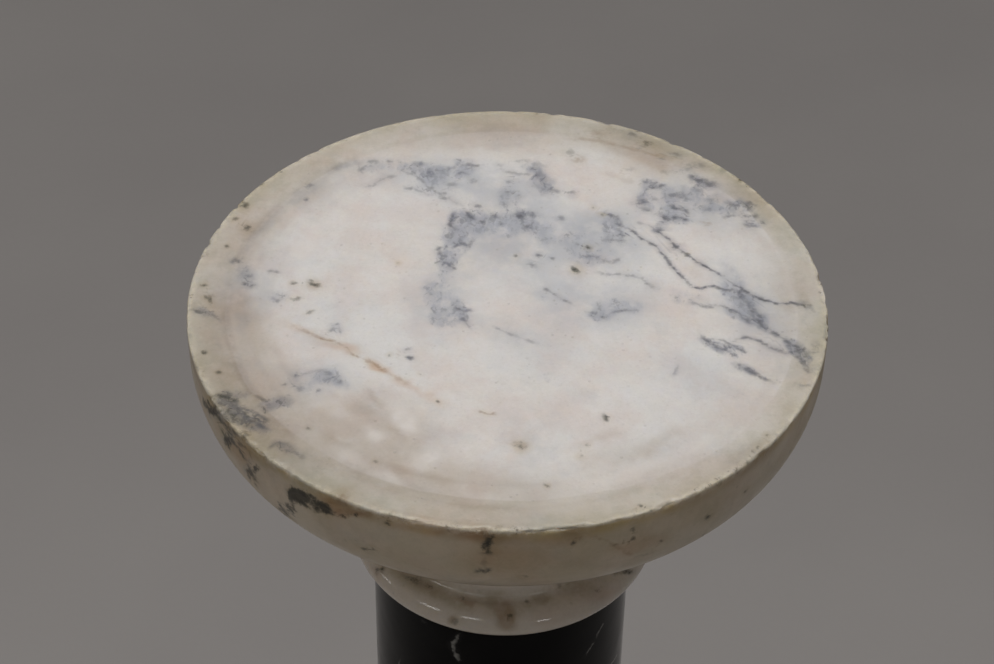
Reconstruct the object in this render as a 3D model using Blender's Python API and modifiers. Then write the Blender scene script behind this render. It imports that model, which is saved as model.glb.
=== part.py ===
# Marble pedestal column: a white turned capital on a black turned shaft on a white turned base.
# Metres, +Z up. The origin lies on the floor, under the middle of the base.

import math

import bpy

# Driving dimensions shared by all three stones
JOINT_GAP = 0.0003
TURN_STEPS = 80
SMOOTH_ANGLE = math.radians(35)

# Shaft: a slim drum that swells a little towards its foot
SHAFT_LENGTH = 0.7744
SHAFT_TOP_DIAMETER = 0.123
SHAFT_FOOT_DIAMETER = 0.129
SHAFT_ARRIS = 0.0008
SHAFT_SHIFT = -0.0009
SHAFT_SWELL_POWER = 1.5
SHAFT_RINGS = 6

# Round collar that both white stones have where they meet the shaft
COLLAR_THICKNESS = 0.017
COLLAR_OVERHANG = 0.011
COLLAR_START_ANGLE = 80

# Capital, from its bed on the shaft up to its flat top
CAPITAL_FLARE_HEIGHT = 0.016
CAPITAL_NECK_DIAMETER = 0.115
CAPITAL_HOLLOW_HEIGHT = 0.047
CAPITAL_FILLET_HEIGHT = 0.004
CAPITAL_STEP_WIDTH = 0.008
CAPITAL_OVOLO_RADIUS = 0.047
CAPITAL_FACE_HEIGHT = 0.014
CAPITAL_DIAMETER = 0.280
CAPITAL_ARRIS = 0.0012

# Base, from its bed under the shaft down to the floor
BASE_FLARE_HEIGHT = 0.008
BASE_NECK_DIAMETER = 0.126
BASE_HOLLOW_HEIGHT = 0.033
BASE_FILLET_HEIGHT = 0.004
BASE_STEP_WIDTH = 0.010
BASE_OVOLO_RADIUS = 0.030
BASE_FACE_HEIGHT = 0.038
BASE_DIAMETER = 0.280
BASE_ARRIS = 0.0015

# How finely the round parts of a profile are divided
COLLAR_STEPS = 8
FLARE_STEPS = 2
HOLLOW_STEPS = 5
OVOLO_STEPS = 6


def clear_scene():
    for old in list(bpy.data.objects):
        bpy.data.objects.remove(old, do_unlink=True)


def new_collection(name):
    collection = bpy.data.collections.new(name)
    bpy.context.scene.collection.children.link(collection)
    return collection


def stone(name, colour, roughness):
    material = bpy.data.materials.new(name)
    material.use_nodes = True
    shader = material.node_tree.nodes["Principled BSDF"]
    shader.inputs["Base Color"].default_value = (*colour, 1.0)
    shader.inputs["Roughness"].default_value = roughness
    shader.inputs["Metallic"].default_value = 0.0
    material.diffuse_color = (*colour, 1.0)
    return material


def arc(centre, radii, start, end, steps):
    # Points of an elliptical arc from start to end degrees, both ends included
    points = []
    for step in range(steps + 1):
        angle = math.radians(start + (end - start) * step / steps)
        points.append((centre[0] + radii[0] * math.cos(angle),
                       centre[1] + radii[1] * math.sin(angle)))
    return points


def turned_end(shaft_diameter, flare_height, neck_diameter, hollow_height, fillet_height,
               step_width, ovolo_radius, face_height, diameter, arris):
    # Profile of a white stone as (radius, distance from its bed on the shaft)
    tube = COLLAR_THICKNESS / 2
    collar_radius = shaft_diameter / 2 + COLLAR_OVERHANG - tube
    points = [(0.0, 0.0)]
    points += arc((collar_radius, tube), (tube, tube), -90, 180 - COLLAR_START_ANGLE, COLLAR_STEPS)

    # The flare rises from the groove behind the collar to the narrowest part of the neck
    neck_radius = neck_diameter / 2
    groove_radius, groove_height = points[-1]
    neck_height = COLLAR_THICKNESS + flare_height
    flare = arc((groove_radius, neck_height),
                (neck_radius - groove_radius, groove_height - neck_height), 90, 0, FLARE_STEPS)
    points += flare[1:]

    # The hollow sweeps out to the small upright fillet
    face_radius = diameter / 2
    ovolo_centre = face_radius - ovolo_radius
    fillet_radius = ovolo_centre - step_width
    points += arc((fillet_radius, neck_height),
                  (neck_radius - fillet_radius, hollow_height), 0, 90, HOLLOW_STEPS)[1:]
    fillet_top = neck_height + hollow_height + fillet_height
    points.append((fillet_radius, fillet_top))

    # The quarter round, the upright face and the flat end
    face_start = fillet_top + ovolo_radius
    points += arc((ovolo_centre, face_start), (ovolo_radius, ovolo_radius), -90, 0, OVOLO_STEPS)
    end = face_start + face_height
    points += [(face_radius, end - arris), (face_radius - arris, end), (0.0, end)]
    return points


def shaft_profile():
    # The radius grows from top to foot, slowly at first, between two small arrises
    top_radius = SHAFT_TOP_DIAMETER / 2
    growth = (SHAFT_FOOT_DIAMETER - SHAFT_TOP_DIAMETER) / 2
    points = [(0.0, SHAFT_LENGTH), (top_radius - SHAFT_ARRIS, SHAFT_LENGTH)]
    for ring in range(SHAFT_RINGS + 1):
        down = ring / SHAFT_RINGS
        height = SHAFT_LENGTH - SHAFT_ARRIS - down * (SHAFT_LENGTH - 2 * SHAFT_ARRIS)
        points.append((top_radius + growth * down ** SHAFT_SWELL_POWER, height))
    points += [(SHAFT_FOOT_DIAMETER / 2 - SHAFT_ARRIS, 0.0), (0.0, 0.0)]
    return points


def turned(name, profile, material, collection):
    # Screw turns a profile that runs from top to bottom on the +X side
    mesh = bpy.data.meshes.new(name)
    vertices = [(radius, 0.0, height) for radius, height in profile]
    edges = [(index, index + 1) for index in range(len(profile) - 1)]
    mesh.from_pydata(vertices, edges, [])
    mesh.materials.append(material)
    piece = bpy.data.objects.new(name, mesh)
    collection.objects.link(piece)
    screw = piece.modifiers.new("Turn", "SCREW")
    screw.axis = "Z"
    screw.steps = TURN_STEPS
    screw.render_steps = TURN_STEPS
    screw.use_merge_vertices = True
    screw.merge_threshold = 0.00002
    solid = bpy.data.meshes.new_from_object(piece.evaluated_get(bpy.context.evaluated_depsgraph_get()))
    piece.modifiers.remove(screw)
    piece.data = solid
    solid.shade_smooth()
    solid.set_sharp_from_angle(angle=SMOOTH_ANGLE)
    return piece


def build():
    clear_scene()
    column = new_collection("marble_column")
    white = stone("white_marble", (0.72, 0.67, 0.60), 0.35)
    black = stone("black_marble", (0.012, 0.012, 0.014), 0.12)

    base_profile = turned_end(
        SHAFT_FOOT_DIAMETER, BASE_FLARE_HEIGHT, BASE_NECK_DIAMETER, BASE_HOLLOW_HEIGHT,
        BASE_FILLET_HEIGHT, BASE_STEP_WIDTH, BASE_OVOLO_RADIUS, BASE_FACE_HEIGHT,
        BASE_DIAMETER, BASE_ARRIS)
    base_height = base_profile[-1][1]
    base_below_bed = [(radius, -distance) for radius, distance in base_profile]
    base = turned("base", base_below_bed, white, column)
    base.location.z = base_height

    shaft = turned("shaft", shaft_profile(), black, column)
    shaft.location = (SHAFT_SHIFT, 0.0, base_height + JOINT_GAP)

    capital_profile = turned_end(
        SHAFT_TOP_DIAMETER, CAPITAL_FLARE_HEIGHT, CAPITAL_NECK_DIAMETER, CAPITAL_HOLLOW_HEIGHT,
        CAPITAL_FILLET_HEIGHT, CAPITAL_STEP_WIDTH, CAPITAL_OVOLO_RADIUS, CAPITAL_FACE_HEIGHT,
        CAPITAL_DIAMETER, CAPITAL_ARRIS)
    capital = turned("capital", capital_profile[::-1], white, column)
    capital.location.z = shaft.location.z + SHAFT_LENGTH + JOINT_GAP


build()
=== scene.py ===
import math

import bpy
import numpy as np
from mathutils import Matrix, Vector, noise
from mathutils.bvhtree import BVHTree


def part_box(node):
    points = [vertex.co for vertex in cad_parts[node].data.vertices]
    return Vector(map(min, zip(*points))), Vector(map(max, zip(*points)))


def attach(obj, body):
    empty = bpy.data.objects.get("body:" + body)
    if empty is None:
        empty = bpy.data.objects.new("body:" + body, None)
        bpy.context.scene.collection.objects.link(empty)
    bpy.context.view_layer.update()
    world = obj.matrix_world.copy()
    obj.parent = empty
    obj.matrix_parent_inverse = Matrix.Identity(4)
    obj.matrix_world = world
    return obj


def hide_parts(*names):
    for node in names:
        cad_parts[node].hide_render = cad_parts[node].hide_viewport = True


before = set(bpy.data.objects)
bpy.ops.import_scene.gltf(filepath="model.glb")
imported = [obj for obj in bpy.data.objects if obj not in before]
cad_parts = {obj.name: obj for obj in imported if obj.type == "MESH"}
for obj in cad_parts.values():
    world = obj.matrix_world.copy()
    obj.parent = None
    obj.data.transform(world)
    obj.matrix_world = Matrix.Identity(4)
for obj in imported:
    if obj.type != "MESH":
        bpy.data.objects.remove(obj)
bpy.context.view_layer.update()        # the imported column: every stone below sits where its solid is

scene = bpy.context.scene
scene.view_settings.view_transform = "Standard"
print("frame loaded:", sorted(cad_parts))


# Small helpers for building node trees

def addNode(tree, kind, **settings):
    node = tree.nodes.new(kind)
    for name, value in settings.items():
        setattr(node, name, value)
    return node


def feed(tree, socket, source):
    # a socket takes either another node's output or a plain value
    if isinstance(source, bpy.types.NodeSocket):
        tree.links.new(source, socket)
    else:
        socket.default_value = source


def calc(tree, operation, first, second=0.0, third=0.0, clamp=False):
    node = addNode(tree, "ShaderNodeMath", operation=operation, use_clamp=clamp)
    for socket, source in zip(node.inputs, (first, second, third)):
        feed(tree, socket, source)
    return node.outputs[0]


def vectorCalc(tree, operation, first, second=(0, 0, 0), scale=1.0):
    node = addNode(tree, "ShaderNodeVectorMath", operation=operation)
    feed(tree, node.inputs[0], first)
    if operation == "SCALE":
        feed(tree, node.inputs[3], scale)
    elif operation != "LENGTH":
        feed(tree, node.inputs[1], second)
    return node.outputs[1] if operation == "LENGTH" else node.outputs[0]


def ramp(tree, value, fromMin, fromMax, toMin=0.0, toMax=1.0):
    node = addNode(tree, "ShaderNodeMapRange", interpolation_type="SMOOTHSTEP")
    for name, source in (("Value", value), ("From Min", fromMin), ("From Max", fromMax),
                         ("To Min", toMin), ("To Max", toMax)):
        feed(tree, node.inputs[name], source)
    return node.outputs["Result"]


def blendColour(tree, factor, first, second, way="MIX"):
    node = addNode(tree, "ShaderNodeMix", data_type="RGBA", blend_type=way)
    feed(tree, node.inputs[0], factor)
    for socket, source in zip((node.inputs[6], node.inputs[7]), (first, second)):
        feed(tree, socket, (*source, 1.0) if isinstance(source, tuple) else source)
    return node.outputs[2]


def joined(tree, first, second=0.0):
    # two lengths as the legs of one vector
    node = addNode(tree, "ShaderNodeCombineXYZ")
    feed(tree, node.inputs["X"], first)
    feed(tree, node.inputs["Y"], second)
    return node.outputs[0]


def noiseOf(tree, vector, size, detail=3.0, roughness=0.5, distortion=0.0):
    # size is the width of one wave in metres
    node = addNode(tree, "ShaderNodeTexNoise")
    feed(tree, node.inputs["Vector"], vector)
    scale = calc(tree, "DIVIDE", 1.0, size) if isinstance(size, bpy.types.NodeSocket) else 1.0 / size
    feed(tree, node.inputs["Scale"], scale)
    node.inputs["Detail"].default_value = detail
    node.inputs["Roughness"].default_value = roughness
    node.inputs["Distortion"].default_value = distortion
    return node


def newGroup(name, inputs, outputs):
    group = bpy.data.node_groups.new(name, "ShaderNodeTree")
    kinds = {"Float": "NodeSocketFloat", "Vector": "NodeSocketVector", "Color": "NodeSocketColor"}
    for label, kind, value in inputs:
        socket = group.interface.new_socket(label, in_out="INPUT", socket_type=kinds[kind])
        if value is not None:
            socket.default_value = value
    for label, kind in outputs:
        group.interface.new_socket(label, in_out="OUTPUT", socket_type=kinds[kind])
    return group, group.nodes.new("NodeGroupInput").outputs, group.nodes.new("NodeGroupOutput").inputs


def camelName(label):
    # "Steps Around" becomes stepsAround
    words = label.split()
    return words[0].lower() + "".join(word.capitalize() for word in words[1:])


def useGroup(tree, group, **values):
    node = addNode(tree, "ShaderNodeGroup", node_tree=group)
    for socket in node.inputs:
        if camelName(socket.name) in values:
            feed(tree, socket, values[camelName(socket.name)])
    return node.outputs


# Camera: the photograph looks down on the top, a little rolled

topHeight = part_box("capital")[1].z

cameraSizes = {
    "frameWidth": 994,
    "frameHeight": 664,
    "lens": 83.1,               # millimetres on a 36 mm wide film
    "filmWidth": 36.0,
    "distance": 1.0044,         # metres from the middle of the top
    "elevation": 40.66,
    "roll": 1.064,
    "topMiddle": (507.7, 298.6),   # the photograph's pixel that shows the middle of the top
}


def placeCamera(sizes):
    topMiddle = Vector((0.0, 0.0, topHeight))
    elevation = math.radians(sizes["elevation"])
    roll = math.radians(sizes["roll"])
    back = Vector((0.0, -math.cos(elevation), math.sin(elevation)))
    side = Vector((1.0, 0.0, 0.0))
    up = back.cross(side)
    right = math.cos(roll) * side + math.sin(roll) * up
    up = back.cross(right)
    turn = Matrix((right, up, back)).transposed()
    # aim past the middle of the top, so that it lands on its own pixel
    focal = sizes["lens"] / sizes["filmWidth"] * sizes["frameWidth"]
    seen = Vector((sizes["topMiddle"][0] - sizes["frameWidth"] / 2,
                   sizes["frameHeight"] / 2 - sizes["topMiddle"][1], -focal))
    aim = seen.rotation_difference(Vector((0.0, 0.0, -1.0))).to_matrix()
    data = bpy.data.cameras.new("photoCamera")
    data.lens = sizes["lens"]
    data.sensor_width = sizes["filmWidth"]
    data.sensor_fit = "HORIZONTAL"
    data.clip_start = 0.05
    camera = bpy.data.objects.new("photoCamera", data)
    scene.collection.objects.link(camera)
    camera.matrix_world = Matrix.Translation(topMiddle + back * sizes["distance"]) @ (turn @ aim).to_4x4()
    scene.camera = camera
    return camera, focal


camera, focalPixels = placeCamera(cameraSizes)
print("camera at", [round(value, 3) for value in camera.matrix_world.translation])


def sightLine(pixel):
    # start and direction of the line of sight through a pixel of the photograph
    across = pixel[0] - cameraSizes["frameWidth"] / 2
    upward = cameraSizes["frameHeight"] / 2 - pixel[1]
    direction = camera.matrix_world.to_3x3() @ Vector((across, upward, -focalPixels))
    return camera.matrix_world.translation.copy(), direction.normalized()


def onTop(pixel):
    # the point of the flat top that a pixel shows
    start, direction = sightLine(pixel)
    reach = (topHeight - start.z) / direction.z
    return start + direction * reach


# Turned stones: a profile is turned by Geometry Nodes, which also chips and ripples it

def arcPoints(centre, radii, start, end, steps):
    points = []
    for step in range(steps + 1):
        angle = math.radians(start + (end - start) * step / steps)
        points.append((centre[0] + radii[0] * math.cos(angle), centre[1] + radii[1] * math.sin(angle)))
    return points


def spread(start, end, spacing):
    # evenly spaced points from start to end, without the start
    steps = max(1, round(math.dist(start, end) / spacing))
    return [(start[0] + (end[0] - start[0]) * step / steps, start[1] + (end[1] - start[1]) * step / steps)
            for step in range(1, steps + 1)]


def turningTree():
    tree = bpy.data.node_groups.new("turnedStone", "GeometryNodeTree")
    sockets = (("Profile", "NodeSocketGeometry", None), ("Steps Around", "NodeSocketInt", 360),
               ("Stone", "NodeSocketMaterial", None), ("Arris Radius", "NodeSocketFloat", 0.14),
               ("Arris Height", "NodeSocketFloat", 1.05), ("Chip Reach", "NodeSocketFloat", 0.003),
               ("Chip Depth", "NodeSocketFloat", 0.001), ("Chip Size", "NodeSocketFloat", 0.006),
               ("Chip Share", "NodeSocketFloat", 0.6), ("Ripple", "NodeSocketFloat", 0.0002),
               ("Ripple Size", "NodeSocketFloat", 0.06), ("Seed", "NodeSocketFloat", 1.0))
    for label, kind, value in sockets:
        socket = tree.interface.new_socket(label, in_out="INPUT", socket_type=kind)
        if value is not None:
            socket.default_value = value
    tree.interface.new_socket("Stone Mesh", in_out="OUTPUT", socket_type="NodeSocketGeometry")
    given = tree.nodes.new("NodeGroupInput").outputs

    # a sheet with one row for each profile point and one column for each step around
    count = addNode(tree, "GeometryNodeAttributeDomainSize", component="MESH")
    tree.links.new(given["Profile"], count.inputs["Geometry"])
    rows = count.outputs["Point Count"]
    sheet = addNode(tree, "GeometryNodeMeshGrid")
    feed(tree, sheet.inputs["Vertices X"], calc(tree, "ADD", given["Steps Around"], 1.0))
    feed(tree, sheet.inputs["Vertices Y"], rows)
    index = tree.nodes.new("GeometryNodeInputIndex").outputs[0]
    column = calc(tree, "FLOOR", calc(tree, "DIVIDE", calc(tree, "ADD", index, 0.5), rows))
    row = calc(tree, "SUBTRACT", index, calc(tree, "MULTIPLY", column, rows))
    sample = addNode(tree, "GeometryNodeSampleIndex", data_type="FLOAT_VECTOR", domain="POINT")
    tree.links.new(given["Profile"], sample.inputs["Geometry"])
    feed(tree, sample.inputs["Value"], tree.nodes.new("GeometryNodeInputPosition").outputs[0])
    feed(tree, sample.inputs["Index"], row)
    turn = addNode(tree, "ShaderNodeVectorRotate", rotation_type="Z_AXIS")
    tree.links.new(sample.outputs[0], turn.inputs["Vector"])
    angle = calc(tree, "MULTIPLY", calc(tree, "DIVIDE", column, given["Steps Around"]), -2 * math.pi)
    feed(tree, turn.inputs["Angle"], angle)
    shaped = addNode(tree, "GeometryNodeSetPosition")
    tree.links.new(sheet.outputs["Mesh"], shaped.inputs["Geometry"])
    tree.links.new(turn.outputs[0], shaped.inputs["Position"])
    closed = addNode(tree, "GeometryNodeMergeByDistance")
    tree.links.new(shaped.outputs[0], closed.inputs["Geometry"])
    closed.inputs["Distance"].default_value = 0.00001

    # chips bite into the arris, and the whole face ripples a little, always inwards
    place = tree.nodes.new("GeometryNodeInputPosition").outputs[0]
    parts = addNode(tree, "ShaderNodeSeparateXYZ")
    tree.links.new(place, parts.inputs[0])
    radius = vectorCalc(tree, "LENGTH", joined(tree, parts.outputs["X"], parts.outputs["Y"]))
    offRadius = calc(tree, "SUBTRACT", radius, given["Arris Radius"])
    offHeight = calc(tree, "SUBTRACT", parts.outputs["Z"], given["Arris Height"])
    offArris = vectorCalc(tree, "LENGTH", joined(tree, offRadius, offHeight))
    near = ramp(tree, calc(tree, "DIVIDE", offArris, given["Chip Reach"]), 0.0, 1.0, 1.0, 0.0)
    seeded = vectorCalc(tree, "ADD", place, joined(tree, given["Seed"]))
    chips = noiseOf(tree, seeded, given["Chip Size"], detail=4.0, roughness=0.65)
    bite = ramp(tree, chips.outputs[0], given["Chip Share"], calc(tree, "ADD", given["Chip Share"], 0.12))
    depth = calc(tree, "MULTIPLY", calc(tree, "MULTIPLY", near, bite), given["Chip Depth"])
    normal = tree.nodes.new("GeometryNodeInputNormal").outputs[0]
    waves = noiseOf(tree, seeded, given["Ripple Size"], detail=2.0)
    sink = calc(tree, "ADD", depth, calc(tree, "MULTIPLY", waves.outputs[0], given["Ripple"]))
    worn = addNode(tree, "GeometryNodeSetPosition")
    tree.links.new(closed.outputs[0], worn.inputs["Geometry"])
    tree.links.new(vectorCalc(tree, "SCALE", normal, scale=calc(tree, "MULTIPLY", sink, -1.0)),
                   worn.inputs["Offset"])
    solid = tree.nodes.new("GeometryNodeRealizeInstances")
    tree.links.new(worn.outputs[0], solid.inputs[0])
    painted = tree.nodes.new("GeometryNodeSetMaterial")
    tree.links.new(solid.outputs[0], painted.inputs[0])
    tree.links.new(given["Stone"], painted.inputs["Material"])
    tree.links.new(painted.outputs[0], tree.nodes.new("NodeGroupOutput").inputs[0])
    return tree


turnedStone = turningTree()


def turnStone(name, profile, material, sizes):
    # the profile runs from the top to the underside as (radius, height)
    line = bpy.data.meshes.new(name + "Profile")
    line.from_pydata([(radius, 0.0, height) for radius, height in profile],
                     [(index, index + 1) for index in range(len(profile) - 1)], [])
    blank = bpy.data.objects.new(name + "Profile", line)
    scene.collection.objects.link(blank)
    turning = blank.modifiers.new("Turning", "NODES")
    turning.node_group = turnedStone
    values = dict(sizes, stone=material)
    for item in turnedStone.interface.items_tree:
        if item.in_out == "INPUT" and camelName(item.name) in values:
            turning[item.identifier] = values[camelName(item.name)]
    mesh = bpy.data.meshes.new_from_object(blank.evaluated_get(bpy.context.evaluated_depsgraph_get()))
    bpy.data.objects.remove(blank)
    mesh.shade_smooth()
    stone = bpy.data.objects.new(name, mesh)
    scene.collection.objects.link(stone)
    print(name, "turned:", len(mesh.polygons), "faces")
    return stone


# Profiles of the three stones, in millimetres from the middle line and from the stone's own bed

collarSizes = {"thickness": 17.0, "overhang": 11.0, "startAngle": 80}


def endProfile(shaftRadius, sizes):
    # a white stone from its bed on the shaft to its flat end, as (radius, distance from the bed)
    tube = collarSizes["thickness"] / 2
    collarRadius = shaftRadius + collarSizes["overhang"] - tube
    points = [(0.0, 0.0)] + spread((0.0, 0.0), (collarRadius, 0.0), 12)
    points += arcPoints((collarRadius, tube), (tube, tube), -90, 180 - collarSizes["startAngle"], 22)[1:]
    grooveRadius, grooveHeight = points[-1]
    neckRadius = sizes["neckRadius"]
    neckHeight = collarSizes["thickness"] + sizes["flareHeight"]
    points += arcPoints((grooveRadius, neckHeight),
                        (neckRadius - grooveRadius, grooveHeight - neckHeight), 90, 0, 8)[1:]
    ovoloCentre = sizes["radius"] - sizes["ovoloRadius"]
    filletRadius = ovoloCentre - sizes["stepWidth"]
    points += arcPoints((filletRadius, neckHeight),
                        (neckRadius - filletRadius, sizes["hollowHeight"]), 0, 90, 14)[1:]
    filletTop = neckHeight + sizes["hollowHeight"] + sizes["filletHeight"]
    points += spread(points[-1], (filletRadius, filletTop), 2)
    points += spread(points[-1], (ovoloCentre, filletTop), 3)
    faceStart = filletTop + sizes["ovoloRadius"]
    rows = round(math.pi / 2 * sizes["ovoloRadius"] / sizes["rowSpacing"])
    points += arcPoints((ovoloCentre, faceStart), (sizes["ovoloRadius"],) * 2, -90, 0, rows)[1:]
    end = faceStart + sizes["faceHeight"]
    arris = sizes["arris"]
    points += spread(points[-1], (sizes["radius"], end - arris), sizes["rowSpacing"])
    points += arcPoints((sizes["radius"] - arris, end - arris), (arris, arris), 0, 90, 3)[1:]
    return points, end


def withRings(points, end, sizes):
    # shallow level changes on the flat top, from the turner's tool and from what stood there
    ringed = list(points)
    slope = sizes["ringSlope"]
    for ringRadius, drop in sizes["rings"]:
        ringed += spread(ringed[-1], (ringRadius + slope, ringed[-1][1]), sizes["rowSpacing"])
        ringed += spread(ringed[-1], (ringRadius - slope, end - drop), slope)
    return ringed + spread(ringed[-1], (0.0, ringed[-1][1]), sizes["rowSpacing"])


def inMetres(points, bed, upward):
    return [(radius / 1000, bed + upward * distance / 1000) for radius, distance in points]


capitalSizes = {
    "neckRadius": 57.5, "flareHeight": 16.0, "hollowHeight": 47.0, "filletHeight": 4.0, "stepWidth": 8.0,
    "ovoloRadius": 47.0, "faceHeight": 14.0, "radius": 140.0, "arris": 1.2,
    "rings": [(127.0, 0.3), (114.0, 0.5)], "ringSlope": 1.2, "rowSpacing": 1.5,
}
capitalWear = {"stepsAround": 440, "arrisRadius": 0.14, "chipReach": 0.0032, "chipDepth": 0.0015,
               "chipSize": 0.0075, "chipShare": 0.52, "ripple": 0.0003, "rippleSize": 0.05, "seed": 3.0}

baseSizes = {
    "neckRadius": 63.0, "flareHeight": 8.0, "hollowHeight": 33.0, "filletHeight": 4.0, "stepWidth": 10.0,
    "ovoloRadius": 30.0, "faceHeight": 38.0, "radius": 140.0, "arris": 1.5, "rowSpacing": 3.0,
}
baseWear = {"stepsAround": 320, "arrisRadius": 0.14, "arrisHeight": 0.0, "chipReach": 0.005,
            "chipDepth": 0.0016, "chipSize": 0.009, "chipShare": 0.52, "ripple": 0.0003,
            "rippleSize": 0.05, "seed": 11.0}

shaftSizes = {"topRadius": 61.5, "footRadius": 64.5, "arris": 0.8, "swellPower": 1.5, "rows": 90,
              "shift": -0.0009}
shaftWear = {"stepsAround": 256, "arrisRadius": 0.0, "arrisHeight": 0.0, "chipDepth": 0.0,
             "ripple": 0.00008, "rippleSize": 0.09, "seed": 5.0}


def makeCapital(material):
    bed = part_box("capital")[0].z
    points, end = endProfile(shaftSizes["topRadius"], capitalSizes)
    profile = inMetres(withRings(points, end, capitalSizes), bed, 1)[::-1]
    return turnStone("capitalStone", profile, material, dict(capitalWear, arrisHeight=topHeight))


def makeBase(material):
    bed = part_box("base")[1].z
    points, end = endProfile(shaftSizes["footRadius"], baseSizes)
    profile = inMetres(points + spread(points[-1], (0.0, end), 14), bed, -1)
    stone = turnStone("baseStone", profile, material, baseWear)
    for point in stone.data.vertices:    # it stands flat
        if point.co.z < 0.0004:
            point.co.z = 0.0
    return stone


def makeShaft(material):
    low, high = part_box("shaft")
    top, foot, arris = shaftSizes["topRadius"], shaftSizes["footRadius"], shaftSizes["arris"]
    length = (high.z - low.z) * 1000
    points = [(0.0, length)] + spread((0.0, length), (top - arris, length), 10)
    for row in range(shaftSizes["rows"] + 1):
        down = row / shaftSizes["rows"]
        points.append((top + (foot - top) * down ** shaftSizes["swellPower"],
                       length - arris - down * (length - 2 * arris)))
    points += [(foot - arris, 0.0)] + spread((foot - arris, 0.0), (0.0, 0.0), 10)
    shaft = turnStone("shaftStone", inMetres(points, low.z, 1), material, shaftWear)
    shaft.data.transform(Matrix.Translation((shaftSizes["shift"], 0, 0)))
    return shaft


# Shader groups that the stones share

def buildWarp():
    # moves a pattern's coordinates about, so that its edges wander
    group, given, out = newGroup("stoneWarp", (("Position", "Vector", None), ("Wave Size", "Float", 0.02),
                                               ("Reach", "Float", 0.004)), (("Position", "Vector"),))
    waves = noiseOf(group, given["Position"], given["Wave Size"], detail=3.0)
    shift = vectorCalc(group, "SCALE", vectorCalc(group, "SUBTRACT", waves.outputs[1], (0.5, 0.5, 0.5)),
                       scale=calc(group, "MULTIPLY", given["Reach"], 2.0))
    feed(group, out["Position"], vectorCalc(group, "ADD", given["Position"], shift))
    return group


strokeSizes = {
    "ragged": 0.0024,    # waves that fray the edges
    "slow": 0.011,       # waves that bend the whole line
    "sway": 0.0026,      # how far they bend it
    "slack": 0.0014,     # how far off its route a line may still be drawn
    "bead": 0.0038,      # spacing of the darker beads
}


def buildStroke():
    # a vein's mask from the painted way to its middle line, with ragged edges and darker beads along it
    group, given, out = newGroup("veinStroke", (
        ("Position", "Vector", None), ("Way", "Vector", None), ("Gap", "Float", 1.0),
        ("Width", "Float", 0.0005), ("Shade", "Float", 1.0), ("Raggedness", "Float", 0.0006)),
        (("Mask", "Float"), ("Halo", "Float")))
    sizes = strokeSizes
    ragged = noiseOf(group, given["Position"], sizes["ragged"], detail=2.0)
    slow = noiseOf(group, given["Position"], sizes["slow"], detail=1.0)
    away = given["Way"]
    for waves, reach in ((ragged, calc(group, "ADD", given["Raggedness"], given["Width"])),
                         (slow, sizes["sway"])):
        centred = vectorCalc(group, "SUBTRACT", waves.outputs[1], (0.5, 0.5, 0.5))
        away = vectorCalc(group, "ADD", away, vectorCalc(group, "SCALE", centred, scale=reach))
    away = vectorCalc(group, "LENGTH", away)
    away = calc(group, "MAXIMUM", away, calc(group, "SUBTRACT", given["Gap"], sizes["slack"]))
    beads = noiseOf(group, given["Position"], sizes["bead"], detail=3.0, roughness=0.6).outputs[0]
    width = calc(group, "MULTIPLY", given["Width"], ramp(group, beads, 0.38, 0.64, 0.8, 1.8))
    core = ramp(group, calc(group, "DIVIDE", away, width), 0.0, 1.9, 1.0, 0.0)
    dark = ramp(group, beads, 0.38, 0.6, 0.5, 1.0)
    feed(group, out["Mask"], calc(group, "MULTIPLY", calc(group, "MULTIPLY", core, dark), given["Shade"],
                                  clamp=True))
    halo = ramp(group, calc(group, "DIVIDE", away, given["Width"]), 0.5, 6.0, 0.6, 0.0)
    halo = calc(group, "MULTIPLY", halo, ramp(group, slow.outputs[0], 0.38, 0.6, 0.5, 1.1))
    feed(group, out["Halo"], calc(group, "MULTIPLY", halo, given["Shade"], clamp=True))
    return group


cloudSizes = {
    "grain": 0.0028,
    "grainSlimness": 0.68,    # grains lie longer from front to back
    "bends": 0.006,
    "bendReach": 0.0016,
    "mottle": 0.010,
    "gaps": 0.0042,
}


def buildCloud():
    # mottled haze with short dark strokes and clear gaps where the cloud is dense
    group, given, out = newGroup("veinCloud", (
        ("Position", "Vector", None), ("Density", "Float", 0.0), ("Grain", "Float", cloudSizes["grain"])),
        (("Haze", "Float"), ("Strokes", "Float")))
    sizes = cloudSizes
    drawn = vectorCalc(group, "MULTIPLY", given["Position"], (1.0, sizes["grainSlimness"], 1.0))
    bent = useGroup(group, stoneWarp, position=drawn, waveSize=sizes["bends"],
                    reach=sizes["bendReach"])["Position"]
    mottle = noiseOf(group, bent, sizes["mottle"], detail=5.0, roughness=0.65).outputs[0]
    uneven = calc(group, "MULTIPLY_ADD", calc(group, "SUBTRACT", mottle, 0.5), 5.0, 1.0)
    density = calc(group, "MULTIPLY", given["Density"], uneven, clamp=True)
    gaps = noiseOf(group, bent, sizes["gaps"], detail=3.0, roughness=0.6).outputs[0]
    feed(group, out["Haze"], calc(group, "MULTIPLY", ramp(group, density, 0.03, 0.9),
                                  ramp(group, gaps, 0.34, 0.56, 0.65, 1.0)))
    grains = noiseOf(group, bent, given["Grain"], detail=3.0, roughness=0.6, distortion=0.4).outputs[0]
    level = calc(group, "SUBTRACT", 0.645, calc(group, "MULTIPLY", density, 0.13))
    shown = ramp(group, calc(group, "SUBTRACT", grains, level), -0.05, 0.1)
    feed(group, out["Strokes"], calc(group, "MULTIPLY", shown, ramp(group, density, 0.12, 0.5)))
    return group


looseSizes = {
    "wander": (0.06, 0.03),      # waves of the veins' routes and how far they reach
    "tremor": (0.012, 0.003),
    "places": 0.055,             # where veins come and go
    "swell": 0.02,
    "thick": 0.03,
}


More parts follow.
